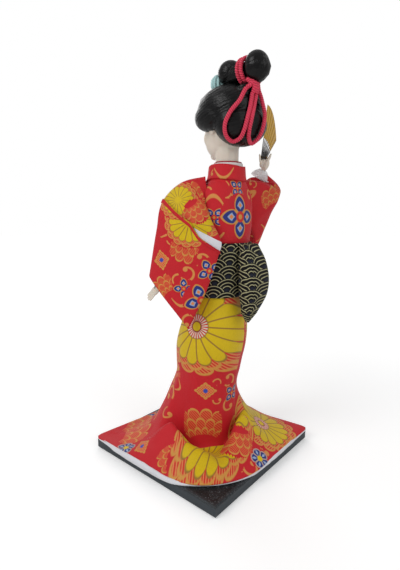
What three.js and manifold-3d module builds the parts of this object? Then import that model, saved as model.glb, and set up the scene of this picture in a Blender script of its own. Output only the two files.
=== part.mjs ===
// A standing doll in a trailing kimono on a square base, made as separate pieces.
// Millimetres, +Z up. The origin is the centre of the base's underside. The doll faces -Y,
// its left hand is on +X, and the heights of its own rows start at the top of the base.

import * as THREE from "three";
import { mergeVertices } from "three/addons/utils/BufferGeometryUtils.js";
import Module from "manifold-3d";

const wasm = await Module();
wasm.setup();

// Driving sizes.

const BASE_SIDE = 120;
const BASE_THICK = 7.8;
const BASE_EDGE = 0.8; // chamfer round the top face
const GAP = 0.3; // clearance between two pieces that touch
const BROCADE = 1.0; // kimono cloth with its paper backing
const LINING = 0.8; // white lining of the train
const OBI_CLOTH = 1.4;
const SLEEVE_CLOTH = 0.8;
const SLEEVE_LINING = 0.6;

const WAIST = 125; // where the leg core meets the torso core
const TORSO_TOP = 200;
const DOWEL_RADIUS = 3;
const DOWEL_REACH = 16; // into each core
const PIN_RADIUS = 1.3;
const PIN_HEAD_RADIUS = 3;
const PIN_HEAD_THICK = 1.4;
const PIN_REACH = 45; // above the base
const PIN_SPREAD = 9; // from the middle, left and right

const OBI_BOTTOM = 117.5;
const OBI_TOP = 156.2;
const BODICE_TOP = 200.4;
const SKIRT_TOP = 140;

const NECK_RADIUS = 9;
const PEG_RADIUS = 2.4;
const PEG_REACH = 12; // into the torso core, and as far up into the head
const HEAD_YAW = -12; // degrees, the back of the head turned to the doll's left

const HAIR_CORD = 2.6; // diameter
const WIRE_RADIUS = 0.8;
const ARM_RADIUS = 2;

const FAN_STICKS = 7;
const FAN_RADIUS = 39;
const FAN_STEP = 10.5; // degrees between two sticks as it stands open
const FAN_FIRST = -2; // degrees from upright to the first stick
const FAN_HEADING = 202; // degrees, where the sticks spread to, seen from above
const FAN_LEAN = 7; // degrees, its top leans back
const STICK_THICK = 0.35;
const STICK_WIDTH = 2.4;
const STICK_TAIL = 2.6; // below the rivet
const RIB_WIDTH = 0.7; // the stick's thin end, held in the leaf
const LEAF_START = 14; // from the rivet
const LEAF_RIM = 3; // of leaf beyond the stick's end
const RIVET_RADIUS = 0.6;
const RIVET_HEAD = 0.3; // thickness

// Small tools.

const V = (x, y, z) => new THREE.Vector3(x, y, z);
const rad = THREE.MathUtils.degToRad;
const lerp = THREE.MathUtils.lerp;
const ease = THREE.MathUtils.smoothstep;

// Cubic through rows [key, value, value, ...]: gives the values at a key.
function through(rows) {
  const slope = (i, k) => {
    const a = rows[Math.max(i - 1, 0)];
    const b = rows[Math.min(i + 1, rows.length - 1)];
    return (b[k] - a[k]) / (b[0] - a[0]);
  };
  return (key) => {
    let i = rows.findIndex((row) => row[0] > key) - 1;
    if (i < 0) i = key <= rows[0][0] ? 0 : rows.length - 2;
    const [p, q] = [rows[i], rows[i + 1]];
    const span = q[0] - p[0];
    const u = THREE.MathUtils.clamp((key - p[0]) / span, 0, 1);
    return p.slice(1).map((from, n) => {
      const k = n + 1;
      const [m0, m1] = [slope(i, k) * span, slope(i + 1, k) * span];
      return (
        (2 * u ** 3 - 3 * u ** 2 + 1) * from +
        (u ** 3 - 2 * u ** 2 + u) * m0 +
        (3 * u ** 2 - 2 * u ** 3) * q[k] +
        (u ** 3 - u ** 2) * m1
      );
    });
  };
}

// A geometry with each of its points moved, its shared points joined and its faces outward.
function shaped(geometry, move) {
  const source = geometry.getAttribute("position");
  const bare = new THREE.BufferGeometry();
  const points = new Float32Array(source.count * 3);
  const at = new THREE.Vector3();
  for (let i = 0; i < source.count; i += 1) {
    at.fromBufferAttribute(source, i);
    move(at.clone()).toArray(points, i * 3);
  }
  bare.setAttribute("position", new THREE.BufferAttribute(points, 3));
  bare.setIndex(geometry.index ? Array.from(geometry.index.array) : [...Array(source.count).keys()]);
  return closed(bare);
}

function closed(geometry) {
  const bare = new THREE.BufferGeometry();
  bare.setAttribute("position", geometry.getAttribute("position"));
  bare.setIndex(geometry.index || [...Array(geometry.getAttribute("position").count).keys()]);
  const joined = mergeVertices(bare, 1e-4);
  const index = joined.index.array;
  const place = joined.getAttribute("position");
  const corner = (n) => new THREE.Vector3().fromBufferAttribute(place, n);
  const kept = [];
  let volume = 0;
  for (let i = 0; i < index.length; i += 3) {
    const [a, b, c] = [index[i], index[i + 1], index[i + 2]];
    if (a === b || b === c || c === a) continue;
    kept.push([a, b, c]);
    volume += corner(a).dot(corner(b).cross(corner(c)));
  }
  joined.setIndex(kept.flatMap(([a, b, c]) => (volume < 0 ? [a, c, b] : [a, b, c])));
  return joined;
}

function solid(geometry) {
  const ready = closed(geometry);
  return new wasm.Manifold(
    new wasm.Mesh({
      numProp: 3,
      vertProperties: new Float32Array(ready.getAttribute("position").array),
      triVerts: new Uint32Array(ready.index.array),
    }),
  );
}

function geometryOf(body) {
  const mesh = body.getMesh();
  const geometry = new THREE.BufferGeometry();
  geometry.setAttribute("position", new THREE.BufferAttribute(new Float32Array(mesh.vertProperties), 3));
  geometry.setIndex(Array.from(mesh.triVerts));
  return geometry;
}

const less = (geometry, ...cutters) =>
  geometryOf(cutters.reduce((body, cutter) => body.subtract(solid(cutter)), solid(geometry)));
const join = (...parts) => geometryOf(parts.map(solid).reduce((sum, body) => sum.add(body)));

// A closed skin round an axis: place(t, angle, depth) with t from 0 to 1 along it and
// depth 0 on the outer face and 1 on the inner face.
function ringShell(around, along, place) {
  const profile = [];
  for (let i = 0; i <= along; i += 1) profile.push(new THREE.Vector2(2, i / along));
  for (let i = along; i >= 0; i -= 1) profile.push(new THREE.Vector2(1, i / along));
  profile.push(profile[0].clone());
  return shaped(new THREE.LatheGeometry(profile, around), (p) => {
    const depth = 2 - Math.round(Math.hypot(p.x, p.z));
    return place(p.y, Math.atan2(p.z, p.x), depth);
  });
}

// A closed solid stacked along t: place(t, angle, reach), reach 0 on the axis and 1 outside.
function stack(around, along, place) {
  return shaped(new THREE.CylinderGeometry(1, 1, 1, around, along), (p) =>
    place(p.y + 0.5, Math.atan2(p.z, p.x), Math.min(1, Math.hypot(p.x, p.z))),
  );
}

// A closed sheet: place(u, v, depth), each from 0 to 1.
function sheet(across, along, place) {
  return shaped(new THREE.BoxGeometry(1, 1, 1, across, along, 1), (p) =>
    place(p.x + 0.5, p.y + 0.5, p.z + 0.5),
  );
}

function egg(centre, size, around = 16, down = 10) {
  return shaped(new THREE.SphereGeometry(1, around, down), (p) =>
    V(centre.x + p.x * size.x, centre.y + p.z * size.y, centre.z + p.y * size.z),
  );
}

const swollen = (size, by) => V(size.x + by, size.y + by, size.z + by);

function tube(points, radius, sides = 8, steps = 20) {
  const section = new THREE.Shape();
  for (let i = 0; i < sides; i += 1) {
    const turn = (i / sides) * 2 * Math.PI;
    const [x, y] = [radius * Math.cos(turn), radius * Math.sin(turn)];
    if (i === 0) section.moveTo(x, y);
    else section.lineTo(x, y);
  }
  section.closePath();
  const path = new THREE.CatmullRomCurve3(points, false, "centripetal");
  return new THREE.ExtrudeGeometry(section, { steps, extrudePath: path, curveSegments: 1 });
}

function rod(from, to, radius, sides = 20) {
  const length = from.distanceTo(to);
  const geometry = new THREE.CylinderGeometry(radius, radius, length, sides);
  const turn = new THREE.Quaternion().setFromUnitVectors(V(0, 1, 0), to.clone().sub(from).normalize());
  geometry.applyQuaternion(turn);
  const middle = from.clone().add(to).multiplyScalar(0.5);
  return geometry.translate(middle.x, middle.y, middle.z);
}

// The scene graph.

const doll = new THREE.Group();
const figure = new THREE.Group(); // heights from the top of the base
figure.position.z = BASE_THICK;
doll.add(figure);

function node(name, geometry, colour, roughness, metalness = 0, parent = figure) {
  const material = new THREE.MeshStandardMaterial({ color: colour, roughness, metalness });
  const mesh = new THREE.Mesh(geometry, material);
  mesh.name = name;
  parent.add(mesh);
  return mesh;
}

const RED = 0xbe2330;
const BLACK = 0x17181a;
const WHITE = 0xe6e6ea;
const IVORY = 0xd8cbb8;
const HAIR = 0x0c0c0d;
const CORD_RED = 0xc82a44;
const STEEL = 0x9a9da0;
const FOAM = 0xd9cfae;
const WOOD = 0xb98f5c;
const GOLD = 0xbf9223;

// The figure's own form.

// The middle of the body: height, x, y.
const spine = through([
  [0, 0, 0],
  [29, 0, 3],
  [52, -0.5, 4],
  [80, -2, 6.5],
  [107, -3.2, 10.5],
  [132, -4, 14],
  [157, -4, 17],
  [182, -3.3, 18.7],
  [200, -2.8, 19.2],
  [211, -2.6, 19.3],
]);

// The outside of the kimono: height, half width, half depth.
const girth = through([
  [0, 23.5, 23.5],
  [29, 23.5, 23.5],
  [50, 24, 23.8],
  [67, 25.5, 25.2],
  [80, 26.5, 26.3],
  [95, 25.2, 24.8],
  [108, 21.8, 20.6],
  [118, 19.4, 18.2],
  [132, 18.6, 17],
  [148, 19.2, 16.6],
  [160, 20.8, 16.8],
  [172, 22.8, 16.6],
  [182, 23.6, 15.2],
  [190, 22.6, 13.6],
  [196, 18.5, 12],
  [201, 13.4, 11.4],
  [206, 12.2, 11.2],
  [212, 12, 11.2],
]);

function skin(height, angle, off) {
  const [x, y] = spine(height);
  const [wide, deep] = girth(height);
  return V(x + (wide + off) * Math.cos(angle), y + (deep + off) * Math.sin(angle), height);
}

// A solid that fills the body up to a distance off the kimono's outside.
const fill = (off, bottom, top, around = 24, along = 6) =>
  stack(around, along, (t, angle, reach) => {
    const height = lerp(bottom, top, t);
    const [x, y] = spine(height);
    return V(x, y, height).lerp(skin(height, angle, off), reach);
  });

// The clothed surface's distance off the kimono: the obi stands out round the waist.
const OBI_EASE = GAP + 0.2;
const OBI_OUT = OBI_EASE + OBI_CLOTH;
const clothed = (height) => OBI_OUT * ease(height, OBI_BOTTOM - 5, OBI_BOTTOM) *
  (1 - ease(height, OBI_TOP, OBI_TOP + 5));

// Moves a point out until it clears the clothed body by a distance.
function clearOfBody(point, distance) {
  const [x, y] = spine(point.z);
  const [wide, deep] = girth(point.z).map((half) => half + clothed(point.z) + distance);
  const away = V((point.x - x) / wide, (point.y - y) / deep, 0);
  const reach = away.length();
  if (reach >= 1) return point;
  return V(x + ((point.x - x) / reach), y + ((point.y - y) / reach), point.z);
}

// Base and what stands on it.

function basePlate() {
  const half = BASE_SIDE / 2 - BASE_EDGE;
  const outline = new THREE.Shape();
  outline.moveTo(-half, -half);
  outline.lineTo(half, -half);
  outline.lineTo(half, half);
  outline.lineTo(-half, half);
  outline.closePath();
  const plate = new THREE.ExtrudeGeometry(outline, {
    depth: BASE_THICK - 2 * BASE_EDGE,
    bevelEnabled: true,
    bevelThickness: BASE_EDGE,
    bevelSize: BASE_EDGE,
    bevelSegments: 1,
  }).translate(0, 0, BASE_EDGE);
  const cutters = [-1, 1].flatMap((side) => [
    rod(V(side * PIN_SPREAD, 0, -1), V(side * PIN_SPREAD, 0, BASE_THICK + 1), PIN_RADIUS + GAP, 16),
    rod(V(side * PIN_SPREAD, 0, -1), V(side * PIN_SPREAD, 0, PIN_HEAD_THICK + 2 * GAP),
      PIN_HEAD_RADIUS + GAP, 16),
  ]);
  node("base_plate", less(plate, ...cutters), BLACK, 0.35, 0, doll);
}

function footPin(side) {
  const x = side * PIN_SPREAD;
  return join(
    rod(V(x, 0, GAP), V(x, 0, GAP + PIN_HEAD_THICK), PIN_HEAD_RADIUS, 16),
    rod(V(x, 0, GAP + PIN_HEAD_THICK / 2), V(x, 0, BASE_THICK + PIN_REACH), PIN_RADIUS, 16),
  );
}

function footPins() {
  node("foot_pin_left", footPin(1), STEEL, 0.3, 1, doll);
  node("foot_pin_right", footPin(-1), STEEL, 0.3, 1, doll);
}

const dowelSpan = (extra) => {
  const [x, y] = spine(WAIST);
  return rod(
    V(x, y, WAIST - DOWEL_REACH - extra),
    V(x, y, WAIST + DOWEL_REACH + extra),
    DOWEL_RADIUS + extra,
    16,
  );
};

// The core stops short of the cloth, and below the train's start of the lining too.
const LINING_TOP = 46;
const CORE_EASE = 0.5; // the stuffing stands a little off the cloth
const SKIRT_DEPTH = BROCADE + GAP;
const TRAIN_DEPTH = SKIRT_DEPTH + LINING + GAP;
const coreInset = (height) =>
  CORE_EASE + lerp(TRAIN_DEPTH + 1, SKIRT_DEPTH, ease(height, LINING_TOP, LINING_TOP + 12));

function cores() {
  const legs = stack(16, 8, (t, angle, reach) => {
    const height = lerp(GAP, WAIST, t);
    const [x, y] = spine(height);
    return V(x, y, height).lerp(skin(height, angle, -coreInset(height)), reach);
  });
  const pinHoles = [-1, 1].map((side) =>
    rod(V(side * PIN_SPREAD, 0, -1), V(side * PIN_SPREAD, 0, PIN_REACH + 1), PIN_RADIUS + GAP, 16),
  );
  node("leg_core", less(legs, dowelSpan(GAP), ...pinHoles), FOAM, 0.9);

  const torso = stack(16, 6, (t, angle, reach) => {
    const height = lerp(WAIST + GAP, TORSO_TOP, t);
    const [x, y] = spine(height);
    return V(x, y, height).lerp(skin(height, angle, -SKIRT_DEPTH - CORE_EASE), reach);
  });
  const [nx, ny] = spine(TORSO_TOP);
  const pegHole = rod(V(nx, ny, TORSO_TOP - PEG_REACH - 1), V(nx, ny, TORSO_TOP + 1), PEG_RADIUS + GAP, 16);
  node("torso_core", less(torso, dowelSpan(GAP), pegHole, ...ARMS.map((arm) => wire(arm, GAP))), FOAM, 0.9);
  node("waist_dowel", dowelSpan(0), WOOD, 0.7);
}

// Skirt and train.

const HEM_HALF = BASE_SIDE / 2 + 1.2; // the hem lies just over the base's edge
const HEM_ROUND = { near: 42, side: 5, front: 22 }; // radii of the hem's corners
const TRAIN_RISE = 48; // the train leaves the column this far above its own foot
const TRAIN_LEVEL = 2.4; // the lowest it lies on the base, for its cloth and lining
const TRAIN_FALL = 18; // how fast its slope dies away
const TRAIN_START = 22; // radius where the slope starts

// Distance from the middle to the hem, with its near corner at +45 degrees.
function hemReach(angle) {
  const [c, s] = [Math.cos(angle), Math.sin(angle)];
  const near = c > 0 && s > 0;
  const front = c < 0 && s < 0;
  const round = near ? HEM_ROUND.near : front ? HEM_ROUND.front : HEM_ROUND.side;
  const [ax, ay] = [Math.abs(c), Math.abs(s)];
  const flat = HEM_HALF - round;
  if ((HEM_HALF * ay) / ax <= flat) return HEM_HALF / ax;
  if ((HEM_HALF * ax) / ay <= flat) return HEM_HALF / ay;
  const along = flat * (ax + ay);
  return along + Math.sqrt(along ** 2 - 2 * flat ** 2 + round ** 2);
}

const trainHeight = (reach) =>
  TRAIN_LEVEL + TRAIN_RISE * Math.exp(-(reach - TRAIN_START) / TRAIN_FALL);

// The rim of the pocket that the column stands in: angle, radius.
const pocketRim = through([
  [-8, 34],
  [12, 37],
  [27, 41.5],
  [38, 44],
  [46, 47.5],
  [54, 51],
  [62, 46.5],
  [70, 40.5],
  [84, 35],
]);
const COLUMN_FOOT = 60; // the column runs straight down to here
const POCKET_DROP = 15;
const POCKET_FOOT = 27.5;

function skirtLine(angle) {
  const degrees = THREE.MathUtils.euclideanModulo(THREE.MathUtils.radToDeg(angle) + 180, 360) - 180;
  const pocket = ease(degrees, -22, -2) * (1 - ease(degrees, 80, 98));
  const hem = hemReach(angle);
  const out = (reach, height) => V(reach * Math.cos(angle), reach * Math.sin(angle), height);
  const flare = (reach) => out(reach, trainHeight(reach));
  const rim = pocketRim(THREE.MathUtils.clamp(degrees, -8, 84))[0];
  const floor = Math.max(trainHeight(rim) - POCKET_DROP, TRAIN_LEVEL + 1.4);
  return new THREE.CatmullRomCurve3([
    skin(COLUMN_FOOT + 13, angle, 0),
    skin(COLUMN_FOOT, angle, 0),
    flare(26).lerp(skin(34, angle, 0), pocket),
    flare(33).lerp(out(POCKET_FOOT, floor), pocket),
    flare(43).lerp(flare(rim), pocket),
    flare((43 + hem) / 2).lerp(out((rim + hem) / 2, trainHeight((rim + hem) / 2) + 2), pocket),
    out(hem, TRAIN_LEVEL + 0.2),
  ], false, "centripetal");
}

const SKIRT_AROUND = 32;
const SKIRT_ROWS = 16;
const COLUMN_ROWS = 6; // of these, above the train
const LINING_ROW = 8;
const skirtLines = new Map();
function skirtPoint(t, angle) {
  const column = COLUMN_ROWS / SKIRT_ROWS;
  const at = Math.min(Math.max(t, 0), 1);
  if (at < column) return skin(lerp(SKIRT_TOP, COLUMN_FOOT, at / column), angle, 0);
  const key = Math.round(angle * 1e4);
  if (!skirtLines.has(key)) skirtLines.set(key, skirtLine(angle));
  return skirtLines.get(key).getPoint((1 + (5 * (at - column)) / (1 - column)) / 6);
}

function skirtNormal(t, angle) {
  const [dt, da] = [0.01, 0.02];
  const along = skirtPoint(t + dt, angle).sub(skirtPoint(t - dt, angle));
  const round = skirtPoint(t, angle + da).sub(skirtPoint(t, angle - da));
  return round.cross(along).normalize().negate();
}

// The lining's rows and the skirt's fall on the same places, so the two never cross.
function skirtLayer(firstRow, near, far) {
  return ringShell(SKIRT_AROUND, SKIRT_ROWS - firstRow, (t, angle, depth) => {
    const turned = angle + Math.PI / 4;
    const at = lerp(firstRow / SKIRT_ROWS, 1, t);
    const down = near + depth * (far - near);
    return skirtPoint(at, turned).addScaledVector(skirtNormal(at, turned), -down);
  });
}

function skirt() {
  node("skirt", skirtLayer(0, 0, BROCADE), RED, 0.75);
  node("train_lining", skirtLayer(LINING_ROW, SKIRT_DEPTH + LINING, SKIRT_DEPTH), WHITE, 0.8);
}

// Upper kimono, collars and obi.

// Each sleeve is a flat bag: rows from the armhole to the wrist of its top, middle and bottom.
const SLEEVES = {
  left: [
    [V(17, 9.5, 198), V(22, 11, 188), V(25.5, 12, 176)],
    [V(27, 2.5, 195), V(25, 18, 172), V(13, 38, 149)],
    [V(37.5, -7, 185), V(30, 15, 155), V(19, 33, 122)],
    [V(41, -12, 168), V(34, 8, 135), V(25, 26.5, 104)],
    [V(42, -16, 136), V(36, 2, 112), V(28.5, 17.5, 88)],
  ],
  right: [
    [V(-20.5, 17, 199), V(-24, 18, 188), V(-26, 18, 176)],
    [V(-32, 25, 198), V(-35, 24, 182), V(-36, 18, 155)],
    [V(-41, 30.5, 195), V(-43, 22, 174), V(-42, 10, 136)],
    [V(-46.5, 29.5, 198.5), V(-46, 12, 178), V(-44, -3, 130)],
    [V(-46, 24.5, 203.5), V(-45, 2, 196), V(-43, -14, 146)],
  ],
};
const SLEEVE_TOP_HALF = { left: [8, 8], right: [7.5, 5.6] }; // round the arm: armhole, wrist
const SLEEVE_HEM_HALF = 1.9; // and at the bottom edge

function sleevePatch(rows) {
  const lines = [0, 1, 2].map(
    (k) => new THREE.CatmullRomCurve3(rows.map((row) => row[k]), false, "centripetal"),
  );
  return (t, s) => {
    const [top, middle, bottom] = lines.map((line) => line.getPoint(Math.min(Math.max(t, 0), 1)));
    const bend = middle.multiplyScalar(2).sub(top.clone().add(bottom).multiplyScalar(0.5));
    const k = 1 - s;
    return top.multiplyScalar(k * k).addScaledVector(bend, 2 * k * s).addScaledVector(bottom, s * s);
  };
}

// The fan: where its rivet is, which way its palm side faces and how far that is off the fingers.
const FAN_PIVOT = V(-45, 22.7, 219.5);
const FAN_ACROSS = V(Math.cos(rad(FAN_HEADING)), Math.sin(rad(FAN_HEADING)), 0);
const FAN_FACE = V(-FAN_ACROSS.y, FAN_ACROSS.x, 0).applyAxisAngle(FAN_ACROSS, rad(FAN_LEAN));
const FAN_GRIP = 4.4;

// Each arm runs inside its sleeve: places there as [along, down], from a root in the torso
// core to a wrist past the sleeve's end.
const ARM_WAYS = [
  {
    side: "left",
    root: V(10, 13.5, 191),
    places: [[0.02, 0.32], [0.25, 0.17], [0.5, 0.15], [0.75, 0.15], [1, 0.16]],
    palm: V(-1, -0.2, 0),
    reach: 5,
  },
  {
    side: "right",
    root: V(-15, 18, 191),
    places: [[0.02, 0.36], [0.25, 0.22], [0.5, 0.17], [0.75, 0.15], [1, 0.1]],
    palm: FAN_FACE,
    aim: FAN_PIVOT.clone().addScaledVector(FAN_FACE, -FAN_GRIP),
    reach: 6,
  },
];
const ARMS = ARM_WAYS.map(({ side, root, places, palm, aim, reach }) => {
  const patch = sleevePatch(SLEEVES[side]);
  const path = [root, ...places.map(([along, down]) => patch(along, down))];
  const wrist = path.at(-1);
  const end = aim ? aim.clone().sub(wrist) : wrist.clone().sub(path.at(-2));
  path.push(wrist.clone().add(end.setLength(reach)));
  const z = end.clone().normalize();
  const x = z.clone().cross(palm).normalize();
  const seat = new THREE.Matrix4().makeBasis(x, z.clone().cross(x), z).setPosition(path.at(-1));
  return { side, path, seat };
});

const wire = (arm, extra) => tube(arm.path, WIRE_RADIUS + extra, 6, 18);

function arms() {
  for (const arm of ARMS) {
    node(`${arm.side}_arm_wire`, wire(arm, 0), STEEL, 0.35, 1);
    const between = (k, part) => arm.path[k].clone().lerp(arm.path[k + 1], part);
    const padded = [between(2, 0.15), ...arm.path.slice(3, -2), between(4, 0.7)];
    node(`${arm.side}_arm_padding`, less(tube(padded, ARM_RADIUS, 8, 10), wire(arm, GAP)), WHITE, 0.9);
  }
}

function bodice() {
  const shell = ringShell(24, 7, (t, angle, depth) =>
    skin(lerp(SKIRT_TOP + GAP, BODICE_TOP, t), angle, -depth * BROCADE),
  );
  const armholes = ARMS.map((arm) => tube(arm.path.slice(0, 4), ARM_RADIUS + 2 * GAP, 10, 10));
  node("bodice", less(shell, ...armholes), RED, 0.75);
}

function obiBelt() {
  const belt = ringShell(28, 3, (t, angle, depth) =>
    skin(lerp(OBI_BOTTOM, OBI_TOP, t), angle, OBI_EASE + (1 - depth) * OBI_CLOTH),
  );
  node("obi_belt", belt, BLACK, 0.6);
}

// The knot panel behind: height, x, y, half width, half depth.
const knotForm = through([
  [108, -0.5, 41.6, 5.5, 4.6],
  [115, -3.4, 41.8, 9, 6.6],
  [123, -5, 42, 11, 7.6],
  [132, -5.2, 42, 11.4, 7.8],
  [142, -5.2, 40.6, 11, 7],
  [150, -5, 38.8, 10.2, 5.2],
  [155.5, -5, 37, 8.8, 3.4],
]);
const KNOT_BOTTOM = 108;
const KNOT_TOP = 155.5;
const TAIL_BOTTOM = 101.5;

const squared = (value, power) => Math.sign(value) * Math.abs(value) ** power;

function knotAt(height, angle, reach, grow = 0) {
  const [x, y, wide, deep] = knotForm(height);
  const turned = angle + Math.PI / 4;
  return V(
    x + (wide + grow) * reach * squared(Math.cos(turned), 0.55),
    y + (deep + grow) * reach * squared(Math.sin(turned), 0.55),
    height,
  );
}

function obiKnot() {
  const panel = stack(20, 7, (t, angle, reach) => knotAt(lerp(KNOT_BOTTOM, KNOT_TOP, t), angle, reach));
  const belt = fill(OBI_OUT + GAP, OBI_BOTTOM - 14, OBI_TOP + 6);
  node("obi_knot", less(panel, belt), BLACK, 0.6);
  const tail = stack(20, 2, (t, angle, reach) => {
    const at = knotAt(KNOT_BOTTOM, angle, reach);
    const tip = V(3.2, 42.6, TAIL_BOTTOM);
    return at.sub(V(0, 0, GAP)).lerp(tip.add(V(at.x * 0.1, (at.y - 42) * 0.3, 0)), 1 - t);
  });
  node("obi_tail", less(tail, belt), BLACK, 0.6);
}

// The collar's way round the neck and down the chest: run, degrees from the back, height.
const collarWay = through([
  [0, 0, 205.2],
  [0.3, 80, 203.6],
  [0.5, 130, 199.6],
  [0.68, 180, 193],
  [0.84, 204, 180],
  [1, 222, 163],
]);
const COLLAR_WIDTH = 9.6;
const COLLAR_THICK = 1.2;
const COLLAR_EASE = GAP + 0.2; // off the kimono

function collarPoint(run, across, depth) {
  const place = (at) => {
    const [turn, height] = collarWay(Math.abs(at));
    return { angle: rad(90 + Math.sign(at) * turn), height };
  };
  const here = place(run);
  const [before, after] = [place(run - 0.01), place(run + 0.01)];
  const [wide] = girth(here.height);
  const along = new THREE.Vector2((after.angle - before.angle) * wide, after.height - before.height);
  along.normalize();
  const shift = (across - 0.5) * COLLAR_WIDTH;
  const height = here.height + shift * along.x;
  const angle = here.angle - (shift * along.y) / Math.max(wide, 13);
  const over = run > 0 ? (COLLAR_THICK + GAP) * ease(run, 0.3, 0.62) : 0;
  return skin(height, angle, COLLAR_EASE + over + depth * COLLAR_THICK);
}

function collars() {
  const band = sheet(36, 2, (u, v, depth) => collarPoint(lerp(-1, 1, u), v, depth));
  node("outer_collar", band, RED, 0.75);
  const ring = (inner, thick, top, dip) =>
    ringShell(24, 1, (t, angle, depth) => {
      const [x, y] = spine(TORSO_TOP);
      const front = Math.max(0, -Math.sin(angle)) ** 2;
      const height = lerp(BODICE_TOP + GAP, top - dip * front, t);
      const reach = inner + (1 - depth) * thick;
      return V(x + reach * Math.cos(angle), y + reach * Math.sin(angle), height);
    });
  const piping = NECK_RADIUS + 2 * GAP;
  node("piping_collar", ring(piping, 0.5, 211.4, 6), 0x8f1a26, 0.8);
  node("white_collar", ring(piping + 0.5 + GAP, 0.6, 210.4, 6), WHITE, 0.85);
}

// Sleeves.

const SLEEVE_ROWS = 10;

function sleeveShell(side, firstRow, near, far) {
  const patch = sleevePatch(SLEEVES[side]);
  const outward = side === "left" ? 1 : -1;
  return ringShell(14, SLEEVE_ROWS - firstRow, (t, angle, depth) => {
    const at = lerp(firstRow / SLEEVE_ROWS, 1, t);
    const s = (1 - Math.cos(angle)) / 2;
    const cover = squared(Math.sin(angle), 0.5);
    const along1 = patch(at + 0.01, s).sub(patch(at - 0.01, s));
    const down = patch(at, s + 0.01).sub(patch(at, s - 0.01));
    const normal = along1.cross(down).normalize().multiplyScalar(-outward);
    const [armhole, wrist] = SLEEVE_TOP_HALF[side];
    const half = lerp(SLEEVE_HEM_HALF, lerp(armhole, wrist, ease(at, 0, 0.4)), (1 - s) ** 1.3);
    const inset = near + depth * (far - near);
    const edge = down.normalize().multiplyScalar(Math.cos(angle) * inset);
    const place = patch(at, s).addScaledVector(normal, cover * (half - inset)).add(edge);
    return clearOfBody(place, GAP + half + cover * (half - inset));
  });
}

function sleeves() {
  for (const side of ["left", "right"]) {
    node(`${side}_sleeve`, sleeveShell(side, 0, 0, SLEEVE_CLOTH), RED, 0.75);
    const inner = SLEEVE_CLOTH + GAP;
    node(`${side}_sleeve_lining`, sleeveShell(side, 1, inner + SLEEVE_LINING, inner), WHITE, 0.85);
  }
}

// Hands and cuffs.

// A hand along +Z, its wrist 3 below the origin and its palm towards -Y.
const FINGERS = [[-2.4, 6.2], [-0.8, 7.6], [0.8, 7.9], [2.3, 6.9]]; // place across, length
const THUMBS = {
  left: [V(-1.8, -0.3, 0.6), V(-3.6, -1.4, 3.4), V(-3.9, -2.3, 6.4)],
  right: [V(1.6, -0.6, 0.6), V(3.4, -4, 4), V(2.6, -7.3, 8.6)],
};

function hand(side, curl) {
  const palm = egg(V(0, 0, 3.2), V(3.3, 1.5, 4.2), 10, 6);
  const wrist = tube([V(0, 0, -2.6), V(0, 0, 1.8)], 1.9, 8, 1);
  const fingers = FINGERS.map(([place, length]) =>
    tube(
      [V(place * 0.8, 0, 5), V(place, -curl * 0.3, 5 + length * 0.5), V(place * 1.02, -curl, 5 + length)],
      0.82, 5, 3,
    ),
  );
  const thumb = tube(THUMBS[side], 0.85, 6, 3);
  const arm = ARMS.find((one) => one.side === side);
  return less(join(palm, wrist, thumb, ...fingers).applyMatrix4(arm.seat), wire(arm, GAP));
}

function cuff(side) {
  const arm = ARMS.find((one) => one.side === side);
  return ringShell(12, 2, (t, angle, depth) => {
    const reach = lerp(3.1, 5.2, t) - depth * 0.5;
    const ruffle = 1 + 0.05 * t * Math.cos(6 * angle);
    return V(reach * ruffle * Math.cos(angle), reach * ruffle * Math.sin(angle), lerp(-3.5, 2, t))
      .applyMatrix4(arm.seat);
  });
}

function handsAndCuffs() {
  for (const [side, curl] of [["left", 0.7], ["right", 0]]) {
    node(`${side}_hand`, hand(side, curl), IVORY, 0.5);
    node(`${side}_cuff`, cuff(side), WHITE, 0.9);
  }
}

// Head, hair and cords.

const [NECK_X, NECK_Y] = spine(TORSO_TOP);
const headGroup = new THREE.Group();
headGroup.position.set(NECK_X, NECK_Y, 0);
headGroup.rotation.z = rad(HEAD_YAW);
figure.add(headGroup);

const SKULL = { centre: V(0, -1.5, 237), size: V(14, 16.4, 19.6) };
const JAW = { centre: V(0, -5.5, 227), size: V(11.6, 12.2, 13) };
const NECK_BOTTOM = TORSO_TOP + GAP;
const pegSolid = (extra) =>
  rod(V(0, 0, TORSO_TOP - PEG_REACH - (extra ? 1 : 0)), V(0, 0, TORSO_TOP + PEG_REACH + extra),
    PEG_RADIUS + extra, 16);

function neckForm(extra) {
  return stack(16, 4, (t, angle, reach) => {
    const height = lerp(NECK_BOTTOM, 228, t);
    const wide = lerp(NECK_RADIUS, NECK_RADIUS - 0.6, Math.sin(Math.PI * t)) + extra;
    return V(wide * reach * Math.cos(angle), wide * reach * Math.sin(angle), height);
  });
}

const headForm = (extra) =>
  join(
    egg(SKULL.centre, swollen(SKULL.size, extra), 18, 10),
    egg(JAW.centre, swollen(JAW.size, extra), 14, 8),
    neckForm(extra),
  );

function head() {
  const nose = egg(V(0, -17.3, 232.5), V(1.5, 2, 2.8), 10, 8);
  const whole = join(headForm(0), nose);
  node("head", less(whole, pegSolid(GAP)), IVORY, 0.45, 0, headGroup);
  node("neck_peg", pegSolid(0), WOOD, 0.7, 0, headGroup);
}

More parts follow.
